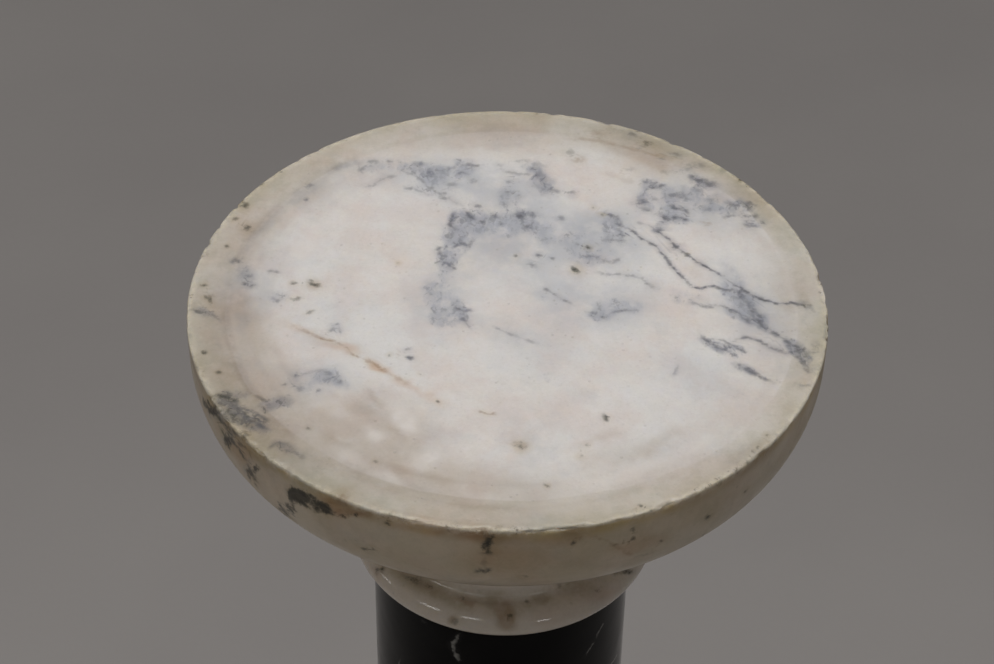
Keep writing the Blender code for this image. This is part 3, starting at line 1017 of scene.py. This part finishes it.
# veins: half width, strength, tint, route; places and widths are in the photograph's pixels
topVeins = [
    # the wisp at the back
    (3.4, 0.22, blue, [(332, 169), (345, 165), (362, 163)]),
    (2.0, 0.50, blue, [(367, 162), (378, 161)]),
    (2.0, 0.50, blue, [(386, 161), (393, 161)]),
    (1.4, 0.50, blue, [(400, 170), (418, 177), (427, 186), (441, 195), (447, 199), (462, 205)]),
    (3.0, 0.40, blue, [(412, 164), (425, 165)]),
    (2.4, 0.70, blue, [(429, 172), (433, 176)]),
    (2.0, 0.40, blue, [(436, 172), (446, 169), (456, 167)]),
    (2.2, 0.65, blue, [(465, 165), (481, 165)]),
    (1.2, 0.50, blue, [(457, 175), (463, 172), (469, 174)]),
    (2.4, 0.45, blue, [(471, 179), (476, 182)]),
    (2.2, 0.40, blue, [(447, 184), (459, 185)]),
    (1.4, 0.45, blue, [(365, 186), (372, 185), (384, 179), (396, 175)]),
    (1.6, 0.50, blue, [(405, 187), (413, 189)]),
    (1.3, 0.35, blue, [(413, 189), (424, 193), (434, 196)]),
    (2.0, 0.80, blue, [(442, 197), (448, 200)]),
    (1.4, 0.40, blue, [(504, 172), (518, 174), (532, 174)]),
    (2.4, 0.55, blue, [(536, 173), (540, 178)]),
    (4.0, 0.35, blue, [(536, 160), (541, 175), (544, 191)]),
    (1.4, 0.45, blue, [(549, 187), (559, 193)]),
    (2.2, 0.40, blue, [(497, 165), (501, 164)]),
    (2.2, 0.35, blue, [(515, 161), (530, 161)]),
    # the large cloud
    (1.4, 0.85, blue, [(466, 211), (470, 215), (475, 220), (485, 224)]),
    (2.0, 0.65, blue, [(493, 215), (501, 218)]),
    (2.0, 0.60, blue, [(499, 224), (504, 222)]),
    (2.2, 0.60, blue, [(530, 214), (537, 216)]),
    (1.8, 0.75, blue, [(438, 247), (441, 255)]),
    (1.2, 0.80, blue, [(454, 213), (453, 219), (451, 224), (457, 230)]),
    (1.5, 0.75, blue, [(452, 247), (460, 244), (468, 246), (473, 240)]),
    (1.4, 0.80, blue, [(444, 262), (449, 266), (456, 269)]),
    # right of the cloud
    (1.9, 0.80, blue, [(606, 212), (615, 217), (619, 228), (623, 240)]),
    (1.6, 0.55, blue, [(602, 240), (615, 239), (623, 240)]),
    (1.3, 0.65, blue, [(543, 287), (550, 292), (560, 298), (571, 304)]),
    (1.6, 0.50, blue, [(598, 272), (606, 275), (618, 274), (632, 276), (640, 278), (650, 285), (658, 288)]),
    (1.3, 0.45, blue, [(584, 256), (600, 258), (612, 262), (622, 258)]),
    (1.4, 0.60, blue, [(587, 312), (598, 315), (610, 320)]),
    (1.4, 0.55, blue, [(611, 314), (623, 310), (638, 310)]),
    (1.3, 0.40, blue, [(493, 327), (516, 336), (537, 343)]),
    # the two long veins on the right
    (1.2, 0.90, blue, [(617, 227), (630, 230), (643, 239), (656, 246), (664, 255), (675, 270), (683, 278),
                       (691, 286), (700, 289), (712, 286), (721, 290), (734, 290), (743, 293)]),
    (1.3, 0.95, blue, [(640, 223), (653, 227), (669, 239), (677, 247), (687, 255), (708, 268), (724, 278),
                       (736, 286), (748, 292), (763, 300), (775, 303), (790, 303), (806, 306), (814, 313)]),
    (2.0, 0.80, blue, [(734, 288), (744, 296), (750, 306), (760, 316), (766, 326)]),
    (1.4, 0.85, blue, [(763, 324), (772, 332), (785, 340), (798, 349), (812, 354)]),
    (1.3, 0.80, blue, [(736, 340), (747, 338), (759, 341), (774, 348), (785, 353), (800, 360), (812, 372)]),
    (1.2, 0.65, blue, [(690, 302), (704, 306), (722, 305), (735, 311), (748, 318)]),
    (1.5, 0.85, blue, [(700, 335), (712, 345), (718, 348), (729, 351)]),
    (1.2, 0.60, blue, [(708, 338), (722, 340), (736, 347), (744, 352)]),
    (2.0, 0.75, blue, [(736, 364), (743, 368), (753, 373), (771, 381)]),
    (1.6, 0.55, blue, [(797, 384), (803, 386), (811, 384)]),
    (1.5, 0.65, blue, [(812, 346), (820, 345)]),
    # the cluster at the upper right
    (2.4, 0.60, blue, [(643, 181), (646, 184)]),
    (1.6, 0.80, blue, [(648, 188), (656, 187), (664, 184)]),
    (3.0, 0.80, blue, [(640, 199), (643, 204)]),
    (1.8, 0.50, blue, [(641, 208), (652, 212)]),
    (1.4, 0.50, blue, [(652, 200), (657, 199)]),
    (2.4, 0.50, blue, [(669, 196), (676, 194), (684, 198)]),
    (1.8, 0.85, blue, [(671, 205), (678, 208), (684, 209), (690, 213)]),
    (1.6, 0.90, blue, [(659, 215), (664, 217), (669, 221)]),
    (1.6, 0.90, blue, [(672, 218), (680, 217), (687, 221)]),
    (3.2, 0.65, blue, [(684, 168), (688, 171)]),
    (2.2, 0.50, blue, [(690, 164), (691, 169)]),
    (1.8, 0.80, blue, [(689, 175), (694, 178), (700, 181)]),
    (2.6, 0.80, blue, [(701, 181), (708, 184), (717, 187)]),
    (2.0, 0.45, blue, [(696, 189), (702, 191)]),
    (2.0, 0.50, blue, [(709, 199), (714, 200)]),
    (1.8, 0.45, blue, [(724, 201), (739, 205)]),
    (2.0, 0.75, blue, [(749, 201), (756, 206)]),
    (2.4, 0.40, blue, [(705, 209), (714, 210)]),
    (1.8, 0.55, blue, [(722, 219), (728, 217), (735, 216)]),
    (2.0, 0.45, brown, [(701, 222), (710, 224)]),
    (1.8, 0.50, blue, [(744, 224), (760, 227)]),
    (3.2, 0.35, brown, [(590, 131), (599, 134), (608, 132)]),
    (3.0, 0.14, brown, [(602, 174), (620, 178), (636, 182)]),
    (2.0, 0.25, brown, [(560, 138), (600, 141), (637, 150), (680, 161)]),
    (1.8, 0.50, blue, [(637, 149), (643, 152)]),
    (2.0, 0.45, blue, [(667, 153), (675, 154), (683, 157)]),
    (2.0, 0.35, blue, [(660, 159), (665, 159)]),
    (1.3, 0.70, blue, [(456, 308), (464, 311), (472, 310)]),
    (1.3, 0.65, blue, [(461, 317), (467, 323), (470, 328)]),
    (1.5, 0.70, blue, [(736, 288), (741, 296), (745, 303)]),
    (1.7, 0.80, blue, [(745, 301), (751, 309), (755, 317)]),
    (1.9, 0.85, blue, [(757, 318), (763, 326), (769, 331)]),
    (1.3, 0.65, blue, [(741, 316), (749, 322), (757, 325)]),
    (1.4, 0.75, blue, [(769, 331), (778, 336), (786, 341)]),
    (1.7, 0.80, blue, [(788, 348), (796, 352), (804, 356)]),
    (1.5, 0.80, blue, [(798, 360), (804, 366), (810, 372)]),
    (1.3, 0.60, blue, [(806, 350), (813, 353), (818, 352)]),
    (2.0, 0.60, dark, [(802, 385), (807, 385)]),
    # left side
    (1.6, 0.70, blue, [(234, 258), (236, 263)]),
    (1.6, 0.50, blue, [(269, 271), (279, 272)]),
    (1.8, 0.65, dark, [(288, 297), (294, 299), (300, 298)]),
    (1.4, 0.50, blue, [(272, 299), (279, 301), (284, 298)]),
    (1.9, 0.85, dark, [(308, 281), (313, 284), (321, 285)]),
    (1.0, 0.60, dark, [(307, 314), (314, 311)]),
    (1.1, 0.60, blue, [(337, 323), (342, 333)]),
    (1.1, 0.60, blue, [(330, 332), (334, 327)]),
    (1.5, 0.85, blue, [(406, 357), (414, 359)]),
    (1.6, 0.80, blue, [(191, 309), (200, 312), (205, 315), (213, 315), (220, 320)]),
    (1.8, 0.75, dark, [(209, 296), (211, 303)]),
    (1.1, 0.50, dark, [(211, 300), (213, 308)]),
    # the brown seam
    (1.2, 0.40, brown, [(290, 325), (303, 331), (316, 336), (334, 342), (345, 347)]),
    (0.9, 0.80, brown, [(312, 335), (324, 339), (336, 343), (347, 348), (352, 353), (362, 358)]),
    (1.6, 0.55, brown, [(362, 358), (372, 363), (381, 368), (388, 373)]),
    (1.6, 0.30, brown, [(388, 373), (398, 379), (409, 385)]),
    # lower left
    (1.2, 0.30, blue, [(296, 378), (312, 372), (330, 371)]),
    (1.2, 0.55, dark, [(255, 395), (267, 401)]),
    (1.5, 0.85, dark, [(210, 401), (220, 396), (230, 399), (238, 403)]),
    (1.4, 0.80, dark, [(214, 406), (224, 409), (231, 413), (236, 419)]),
    (1.7, 0.85, blue, [(232, 412), (246, 419), (258, 424), (270, 429)]),
    (1.6, 0.75, blue, [(238, 407), (250, 411), (262, 417), (270, 422)]),
    (1.3, 0.80, dark, [(246, 411), (248, 420), (247, 428)]),
    (1.4, 0.65, blue, [(222, 401), (230, 406), (241, 409)]),
    (1.2, 0.55, blue, [(268, 449), (276, 443), (286, 444), (294, 451)]),
    (1.5, 0.70, blue, [(284, 448), (293, 452), (302, 458)]),
    # near the front
    (1.5, 0.95, dark, [(603, 415), (606, 417), (606, 421)]),
    (1.1, 0.80, dark, [(545, 484), (550, 487)]),
    (0.9, 0.55, brown, [(478, 411), (490, 415), (496, 413)]),
    (1.2, 0.35, blue, [(674, 376), (679, 365)]),
]

# specks: x, y, half width, strength, tint
topSpecks = [
    (244, 205, 2.2, 0.7, dark), (249, 228, 2.4, 0.6, dark), (237, 262, 2.6, 0.6, blue),
    (308, 185, 2.4, 0.5, blue), (306, 200, 1.6, 0.5, blue), (209, 297, 1.8, 0.9, dark),
    (294, 283, 1.4, 0.5, dark), (236, 219, 1.5, 0.5, dark), (281, 172, 1.4, 0.5, dark),
    (262, 184, 1.4, 0.5, dark), (264, 182, 1.1, 0.6, dark), (407, 349, 1.4, 0.5, blue),
    (438, 402, 1.0, 0.5, dark), (420, 374, 1.0, 0.4, dark), (308, 428, 1.0, 0.4, dark),
    (376, 462, 1.2, 0.4, dark), (477, 206, 2.2, 0.5, blue), (431, 188, 1.8, 0.5, blue),
    (444, 194, 1.6, 0.5, blue), (362, 170, 2.0, 0.4, blue), (455, 167, 1.8, 0.4, blue),
    (510, 182, 1.8, 0.4, blue), (507, 192, 2.6, 0.4, blue), (518, 196, 1.6, 0.5, blue),
    (631, 134, 2.8, 0.4, blue), (646, 143, 2.2, 0.5, dark), (570, 152, 2.6, 0.25, dark),
    (579, 159, 3.0, 0.3, brown), (700, 165, 2.2, 0.3, blue), (722, 170, 2.4, 0.25, dark),
    (740, 180, 1.6, 0.7, dark), (665, 171, 3.0, 0.2, dark), (629, 169, 2.4, 0.2, dark),
    (754, 216, 2.0, 0.5, blue), (745, 216, 1.6, 0.4, blue), (659, 229, 3.2, 0.5, blue),
    (520, 216, 2.6, 0.8, blue), (528, 228, 2.0, 0.5, blue), (516, 256, 1.5, 0.5, dark),
    (539, 255, 1.4, 0.7, blue), (550, 259, 1.3, 0.5, blue), (531, 266, 1.9, 0.5, blue),
    (575, 270, 2.4, 0.9, dark), (588, 247, 1.8, 0.7, dark), (577, 245, 1.4, 0.5, blue),
    (562, 218, 1.6, 0.4, blue), (571, 193, 2.0, 0.5, blue), (594, 207, 1.1, 0.5, dark),
    (606, 213, 1.8, 0.8, dark), (677, 247, 2.0, 0.7, blue), (687, 255, 1.6, 0.8, dark),
    (806, 306, 2.0, 0.8, dark), (786, 303, 1.4, 0.7, dark), (247, 275, 2.0, 0.5, blue),
    (244, 284, 1.4, 0.6, blue), (252, 286, 1.4, 0.6, blue), (276, 301, 1.5, 0.5, blue),
    (389, 355, 1.0, 0.6, dark), (399, 263, 0.9, 0.6, dark), (204, 285, 1.3, 0.6, dark),
    (202, 352, 1.5, 0.9, dark), (219, 372, 1.1, 0.6, dark), (227, 246, 1.2, 0.5, dark),
    (296, 375, 1.6, 0.6, blue), (328, 372, 1.8, 0.6, blue), (339, 381, 1.4, 0.5, blue),
    (285, 384, 1.3, 0.5, blue), (299, 389, 1.5, 0.6, blue), (273, 398, 1.3, 0.5, blue),
    (318, 391, 1.2, 0.5, blue), (236, 419, 1.6, 0.7, dark), (253, 422, 1.8, 0.7, dark),
    (521, 446, 2.3, 0.9, dark), (520, 446, 1.5, 1.0, dark), (581, 456, 1.4, 0.6, dark),
    (586, 445, 1.3, 0.6, dark), (495, 414, 0.9, 0.5, dark), (641, 506, 1.1, 0.6, dark),
    (650, 511, 1.2, 0.6, dark), (634, 515, 1.1, 0.6, dark), (758, 447, 1.4, 0.6, dark),
    (753, 451, 1.1, 0.6, dark), (748, 463, 1.1, 0.6, dark), (804, 385, 1.5, 0.7, blue),
    (768, 435, 1.1, 0.6, dark), (503, 204, 2.0, 0.5, blue), (818, 345, 1.6, 0.6, blue),
]

sideVeinsAndShade = [
    (1.8, 0.85, dark, [(196, 400), (204, 404), (212, 411), (220, 419), (229, 428), (236, 434), (243, 441)]),
    (1.6, 0.80, dark, [(224, 427), (230, 438), (239, 450), (247, 462), (253, 475), (257, 488)]),
    (2.6, 0.85, dark, [(247, 462), (252, 472), (256, 482)]),
    (2.2, 0.75, dark, [(220, 428), (227, 440), (231, 452)]),
    (1.3, 0.70, dark, [(236, 443), (243, 446), (250, 452), (252, 460)]),
    (1.6, 0.85, dark, [(286, 490), (296, 492), (308, 496), (318, 499)]),
    (1.9, 0.90, dark, [(289, 496), (299, 500), (307, 506), (312, 509)]),
    (1.7, 0.80, dark, [(304, 501), (318, 504), (332, 509)]),
    (1.8, 0.75, dark, [(312, 508), (323, 512), (333, 513)]),
    (2.0, 0.40, brown, [(333, 510), (351, 511), (371, 514)]),
    (1.6, 0.85, dark, [(277, 507), (284, 511), (289, 516), (294, 520)]),
    (3.0, 0.90, dark, [(491, 534), (489, 544), (487, 554)]),
    (2.6, 0.90, dark, [(476, 571), (483, 570), (489, 571)]),
    (2.0, 0.30, dark, [(487, 554), (485, 562), (484, 570)]),
    # painted shade along the bulge's lower contour
    (1.2, 0.45, dark, [(634, 557), (652, 553), (682, 548)]),
    (1.4, 0.30, brown, [(585, 532), (615, 546), (634, 557)]),
    # the collar: the marks along its groove and under the bulge's lower edge are painted shade; the upright
    # brown one is a vein
    (2.2, 0.40, dark, [(400, 573), (410, 578), (420, 584)]),
    (2.0, 0.30, brown, [(448, 596), (463, 601), (476, 604)]),
    (2.4, 0.20, brown, [(497, 606), (500, 616), (503, 624)]),
    (2.4, 0.45, dark, [(612, 574), (622, 573), (634, 571)]),
    (2.6, 0.40, dark, [(375, 569), (385, 572)]),
]

sideSpecks = [
    (338, 498, 3.0, 0.5, brown), (388, 524, 1.5, 0.7, dark), (391, 515, 1.3, 0.7, dark),
    (364, 549, 1.5, 0.6, dark), (373, 549, 1.3, 0.6, dark), (632, 530, 1.5, 0.7, dark),
    (632, 538, 1.3, 0.6, dark), (572, 543, 1.4, 0.6, dark), (660, 541, 1.4, 0.6, dark),
    (708, 517, 1.7, 0.7, dark), (704, 534, 1.4, 0.6, dark), (615, 546, 1.4, 0.6, dark),
    (526, 577, 1.6, 0.6, dark), (382, 569, 2.0, 0.6, dark), (512, 615, 2.0, 0.7, dark),
    (527, 603, 1.6, 0.5, dark), (455, 622, 2.2, 0.4, dark), (463, 600, 1.8, 0.5, dark),
    (246, 436, 1.8, 0.6, dark), (700, 541, 1.2, 0.5, dark), (745, 492, 1.3, 0.5, dark),
    (790, 452, 1.5, 0.5, dark), (812, 412, 2.0, 0.5, dark), (560, 585, 1.6, 0.4, dark),
]

shaftVeins = [
    (1.1, 0.50, blue, [(461, 632), (457, 640), (450, 646), (452, 652), (458, 659), (463, 666)]),
    (1.1, 0.40, blue, [(616, 600), (610, 612), (602, 625), (596, 638), (590, 648), (584, 658), (565, 666)]),
    (1.4, 0.22, blue, [(422, 620), (434, 634)]),
]

# patches: middle x, y, half length, half width, turn in degrees, strength
greyClouds = [
    (416, 166, 30, 10, 10, 0.6), (434, 174, 22, 14, 20, 0.8), (462, 170, 26, 12, -10, 0.7),
    (380, 168, 24, 9, 0, 0.4), (476, 222, 32, 18, 10, 0.8), (506, 224, 22, 16, 0, 0.75),
    (512, 200, 18, 15, 20, 0.6), (528, 222, 22, 17, 0, 0.85), (532, 166, 22, 9, 8, 0.5),
    (543, 183, 14, 14, 30, 0.5), (458, 222, 16, 12, 0, 0.85), (456, 240, 20, 20, 10, 0.9),
    (449, 262, 17, 16, 0, 0.9), (440, 290, 22, 20, 0, 0.6), (446, 306, 20, 16, 0, 0.7),
    (456, 316, 18, 13, 0, 0.9), (438, 318, 14, 12, 0, 0.6), (548, 232, 26, 18, 6, 0.5),
    (572, 238, 30, 20, 6, 0.4), (592, 254, 28, 12, 6, 0.5), (610, 226, 18, 18, 0, 0.65),
    (614, 242, 18, 10, 0, 0.6), (615, 308, 30, 13, -5, 0.6), (634, 306, 16, 8, 0, 0.45),
    (598, 316, 20, 8, 0, 0.4), (733, 294, 22, 10, 40, 0.75), (748, 308, 26, 14, 48, 1.0),
    (760, 322, 16, 9, 48, 0.9), (742, 318, 22, 9, 40, 0.6), (794, 348, 18, 11, 20, 0.95),
    (808, 360, 18, 10, 40, 0.9), (716, 346, 20, 10, 20, 0.85), (735, 350, 20, 9, 16, 0.7),
    (746, 369, 18, 8, 24, 0.6), (646, 202, 14, 12, 60, 0.75), (668, 213, 26, 12, 14, 0.8),
    (674, 198, 22, 10, 14, 0.7), (652, 186, 18, 8, 0, 0.5), (702, 181, 17, 9, 24, 0.95),
    (696, 192, 30, 13, 10, 0.65), (714, 208, 26, 11, 6, 0.7), (742, 207, 20, 11, 0, 0.8),
    (757, 222, 22, 6, 4, 0.5), (660, 228, 10, 8, 0, 0.6), (200, 406, 10, 8, 40, 0.5),
    (212, 412, 12, 7, 40, 0.5), (228, 438, 9, 14, 20, 0.55), (248, 466, 8, 20, 20, 0.3),
    (735, 276, 26, 12, 38, 0.4), (247, 277, 12, 14, 0, 0.55), (278, 295, 12, 7, 0, 0.45),
    (304, 382, 24, 12, -8, 0.4), (328, 376, 24, 12, -8, 0.42), (340, 384, 16, 8, 0, 0.35),
    (284, 402, 20, 11, 0, 0.5), (228, 406, 20, 13, 30, 0.95), (250, 421, 30, 11, 22, 1.0),
    (288, 448, 26, 9, 16, 0.35), (262, 408, 18, 10, 0, 0.5), (236, 396, 18, 9, 0, 0.5),
    (690, 300, 40, 12, 12, 0.28), (540, 178, 18, 10, 20, 0.4), (590, 262, 34, 8, 8, 0.35),
    (806, 306, 12, 6, 20, 0.5), (336, 328, 9, 8, 0, 0.3), (549, 378, 7, 10, 0, 0.25),
    (205, 312, 14, 5, 15, 0.5), (550, 300, 16, 12, 30, 0.25),
]

hazesAndRingShade = [
    (440, 300, 44, 44, 0, 0.65), (520, 240, 96, 50, 8, 0.75), (522, 192, 50, 30, 10, 0.6),
    (760, 330, 60, 30, 38, 0.5), (605, 235, 66, 42, 0, 0.75), (582, 230, 46, 18, 5, 0.35),
    (455, 182, 80, 26, 6, 0.7), (615, 308, 60, 30, 0, 0.55), (690, 205, 80, 32, 15, 0.65),
    (745, 300, 66, 28, 38, 0.5), (560, 300, 56, 34, 20, 0.5), (318, 380, 50, 26, -8, 0.5),
    # the thin streaks at (262, 230), (306, 192), (240, 310) and (356, 165) are painted shade along the rings
    # of the top
    (250, 290, 44, 40, 0, 0.5), (262, 230, 46, 8, -46, 0.5), (306, 192, 46, 8, -30, 0.5),
    (240, 310, 9, 46, 0, 0.4), (356, 165, 40, 8, -10, 0.5), (500, 330, 66, 18, 20, 0.4),
    (540, 345, 60, 30, 0, 0.2),
]

stains = [
    (300, 430, 110, 70, 30, 0.6), (390, 440, 84, 54, 20, 0.45), (395, 435, 36, 36, 0, 0.22),
    (235, 345, 60, 110, -10, 0.62), (470, 490, 150, 40, 8, 0.5), (250, 240, 60, 30, -40, 0.45),
    (620, 455, 60, 16, -12, 0.3), (790, 290, 30, 60, -16, 0.4), (480, 136, 170, 26, 0, 0.4),
    (640, 152, 80, 24, 20, 0.6), (300, 190, 80, 24, -30, 0.3), (521, 446, 9, 6, 0, 0.5),
    (313, 283, 11, 8, 0, 0.5), (340, 345, 60, 10, 22, 0.2), (755, 450, 50, 16, -36, 0.4),
    (660, 480, 90, 16, -20, 0.25), (600, 440, 40, 8, -14, 0.3), (508, 618, 16, 18, 0, 0.9),
    (508, 617, 12, 12, 0, 0.4), (455, 621, 5, 9, 0, 0.6), (467, 600, 10, 12, 0, 0.3),
    (540, 600, 16, 8, 0, 0.4), (430, 592, 16, 8, 26, 0.4), (372, 400, 20, 6, 42, 0.45),
    (398, 432, 14, 6, 50, 0.5), (402, 468, 24, 7, 10, 0.6), (440, 480, 22, 8, 12, 0.55),
    (330, 436, 14, 9, 0, 0.4), (360, 412, 20, 9, 30, 0.35), (660, 440, 40, 8, -24, 0.3),
]

# the thin bands near the front edge, at (500, 500), (560, 505), (640, 470) and (710, 440), are a painted
# sheen; the others are paler stone
palesAndSheen = [
    (428, 458, 22, 16, 10, 0.9), (404, 420, 24, 12, 46, 0.8), (374, 436, 16, 10, 0, 0.6),
    (350, 456, 22, 12, 20, 0.6), (330, 408, 24, 12, 20, 0.4), (385, 478, 22, 7, 14, 0.5),
    (500, 500, 40, 10, 4, 0.45), (560, 505, 40, 12, 0, 0.5), (640, 470, 60, 8, -18, 0.6),
    (710, 440, 44, 7, -34, 0.5), (345, 356, 36, 14, 24, 0.4), (300, 250, 30, 16, -40, 0.4),
]

rusts = [
    (300, 330, 36, 6, 20, 0.18), (345, 347, 24, 6, 20, 0.35), (380, 367, 16, 6, 32, 0.55),
    (404, 383, 20, 6, 28, 0.3), (430, 398, 26, 6, 24, 0.2), (240, 300, 10, 30, 10, 0.12),
    (475, 537, 26, 7, 0, 0.25), (334, 503, 18, 9, 14, 0.5), (352, 512, 26, 6, 6, 0.45),
    (420, 528, 40, 8, 6, 0.3), (560, 540, 40, 8, -4, 0.3), (640, 545, 40, 10, -14, 0.3),
    (240, 452, 20, 12, 40, 0.35), (520, 560, 80, 20, 0, 0.18), (600, 596, 22, 8, -20, 0.2),
]

# the marks at (412, 578), (378, 569), (430, 590), (625, 572) and (600, 588) are painted shade along the
# collar's groove and under the bulge's lower edge; the others are dark blotches on the stone
grimesAndShade = [
    (298, 496, 20, 10, 18, 1.0), (322, 508, 18, 8, 14, 0.85), (352, 513, 26, 7, 4, 0.5),
    (229, 442, 7, 14, 0, 0.7), (210, 407, 18, 6, 36, 0.7), (252, 474, 6, 16, 14, 0.7),
    (285, 513, 14, 4, 34, 0.6), (470, 536, 26, 6, 0, 0.2), (412, 578, 18, 8, 25, 0.42),
    (490, 544, 5, 13, 6, 0.85), (483, 571, 8, 5, 0, 0.6), (378, 569, 9, 4, 0, 0.7),
    (430, 590, 12, 7, 20, 0.36), (625, 572, 16, 8, -20, 0.45), (600, 588, 22, 7, -24, 0.3),
]


speckSizes = {"spread": 1.2, "boost": 1.3}


def speckMarks(specks):
    # a speck is a vein with a single point, drawn a little wider and stronger
    spread, boost = speckSizes["spread"], speckSizes["boost"]
    return [(halfWidth * spread, min(1.0, strength * boost), hue, [(x, y)])
            for x, y, halfWidth, strength, hue in specks]


paintVeins(capital, topVeins + speckMarks(topSpecks) + sideVeinsAndShade + speckMarks(sideSpecks))
paintVeins(shaft, shaftVeins)
for layer, patches in (("greyCloud", greyClouds), ("paleHaze", hazesAndRingShade), ("stain", stains),
                       ("palePatch", palesAndSheen), ("rust", rusts), ("grime", grimesAndShade)):
    paintPatches(capital, layer, patches)
print("marks painted:", len(topVeins) + len(topSpecks) + len(sideVeinsAndShade) + len(sideSpecks) + len(shaftVeins))

for stone, node, slotName in ((capital, "capital", "white_marble"), (base, "base", "white_marble"),
                              (shaft, "shaft", "black_marble")):
    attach(stone, "root")
    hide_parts(node)


# Floor, lights and the air around

floorSizes = {"side": 60.0, "drift": 0.7, "grain": 0.01}
floorTones = {"darker": (0.50, 0.475, 0.465), "paler": (0.55, 0.525, 0.51)}


def makeFloor(material):
    half = floorSizes["side"] / 2
    mesh = bpy.data.meshes.new("floor")
    mesh.from_pydata([(-half, -half, 0), (half, -half, 0), (half, half, 0), (-half, half, 0)], [],
                     [(0, 1, 2, 3)])
    mesh.materials.append(material)
    floor = bpy.data.objects.new("floor", mesh)
    scene.collection.objects.link(floor)
    return floor


def floorMaterial():
    material, tree, shader, place, parts = newMaterial("paleFloor")
    drift = noiseOf(tree, place, floorSizes["drift"], detail=4.0).outputs[0]
    colour = blendColour(tree, ramp(tree, drift, 0.3, 0.7), floorTones["darker"], floorTones["paler"])
    feed(tree, shader.inputs["Base Color"], colour)
    grain = noiseOf(tree, place, floorSizes["grain"], detail=3.0).outputs[0]
    feed(tree, shader.inputs["Roughness"], ramp(tree, grain, 0.3, 0.7, 0.55, 0.7))
    bumped(tree, shader, calc(tree, "MULTIPLY", grain, 0.0003))
    return material


floor = makeFloor(floorMaterial())

lightSizes = {
    # name: (place, aimed at, width, watts)
    "overheadSoftbox": ((0.0, 0.15, 1.85), (0.0, 0.0, 1.05), 0.7, 4.0),
    "frontFill": ((0.0, -3.0, 1.5), (0.0, 0.0, 0.6), 2.2, 1.1),
    "leftBackFill": ((-2.6, 1.5, 2.0), (0.0, 0.0, 0.5), 1.8, 6.0),
    "rightBackFill": ((2.6, 1.5, 2.0), (0.0, 0.0, 0.5), 1.8, 6.0),
    "stripLampA": ((-1.82, -0.31, 1.16), (-0.05, -0.05, 0.92), 0.26, 0.6),
    "stripLampB": ((-1.31, -1.22, 1.44), (-0.03, -0.06, 0.92), 0.40, 1.4),
    "stripLampC": ((-0.63, -1.63, 1.56), (-0.01, -0.07, 0.92), 0.34, 1.1),
    "stripLampD": ((0.81, -1.69, 1.05), (0.02, -0.07, 0.92), 0.28, 0.8),
}
lampSlimness = 0.8    # height of a strip lamp as a share of its width
skySizes = {"angle": 60.0, "strength": 0.32, "height": 3.0}    # a wide soft light straight above
lampColour = (1.0, 0.985, 0.965)
airColour = (0.096, 0.092, 0.090)


def makeLight(name, place, target, width, power):
    data = bpy.data.lights.new(name, "AREA")
    data.shape = "RECTANGLE" if name.startswith("strip") else "DISK"
    data.size = width
    data.size_y = width * lampSlimness
    data.energy = power
    data.color = lampColour
    light = bpy.data.objects.new(name, data)
    scene.collection.objects.link(light)
    light.location = place
    light.rotation_euler = (Vector(target) - Vector(place)).to_track_quat("-Z", "Y").to_euler()
    light.visible_camera = False
    return light


def makeSky(sizes):
    data = bpy.data.lights.new("ceilingLight", "SUN")
    data.angle = math.radians(sizes["angle"])
    data.energy = sizes["strength"]
    data.color = lampColour
    light = bpy.data.objects.new("ceilingLight", data)
    light.location = (0.0, 0.0, sizes["height"])
    scene.collection.objects.link(light)


for name, values in lightSizes.items():
    makeLight(name, *values)
makeSky(skySizes)

world = bpy.data.worlds.new("studioAir")
scene.world = world
world.use_nodes = True
world.node_tree.nodes["Background"].inputs["Color"].default_value = (*airColour, 1.0)
print("floor and lights placed")
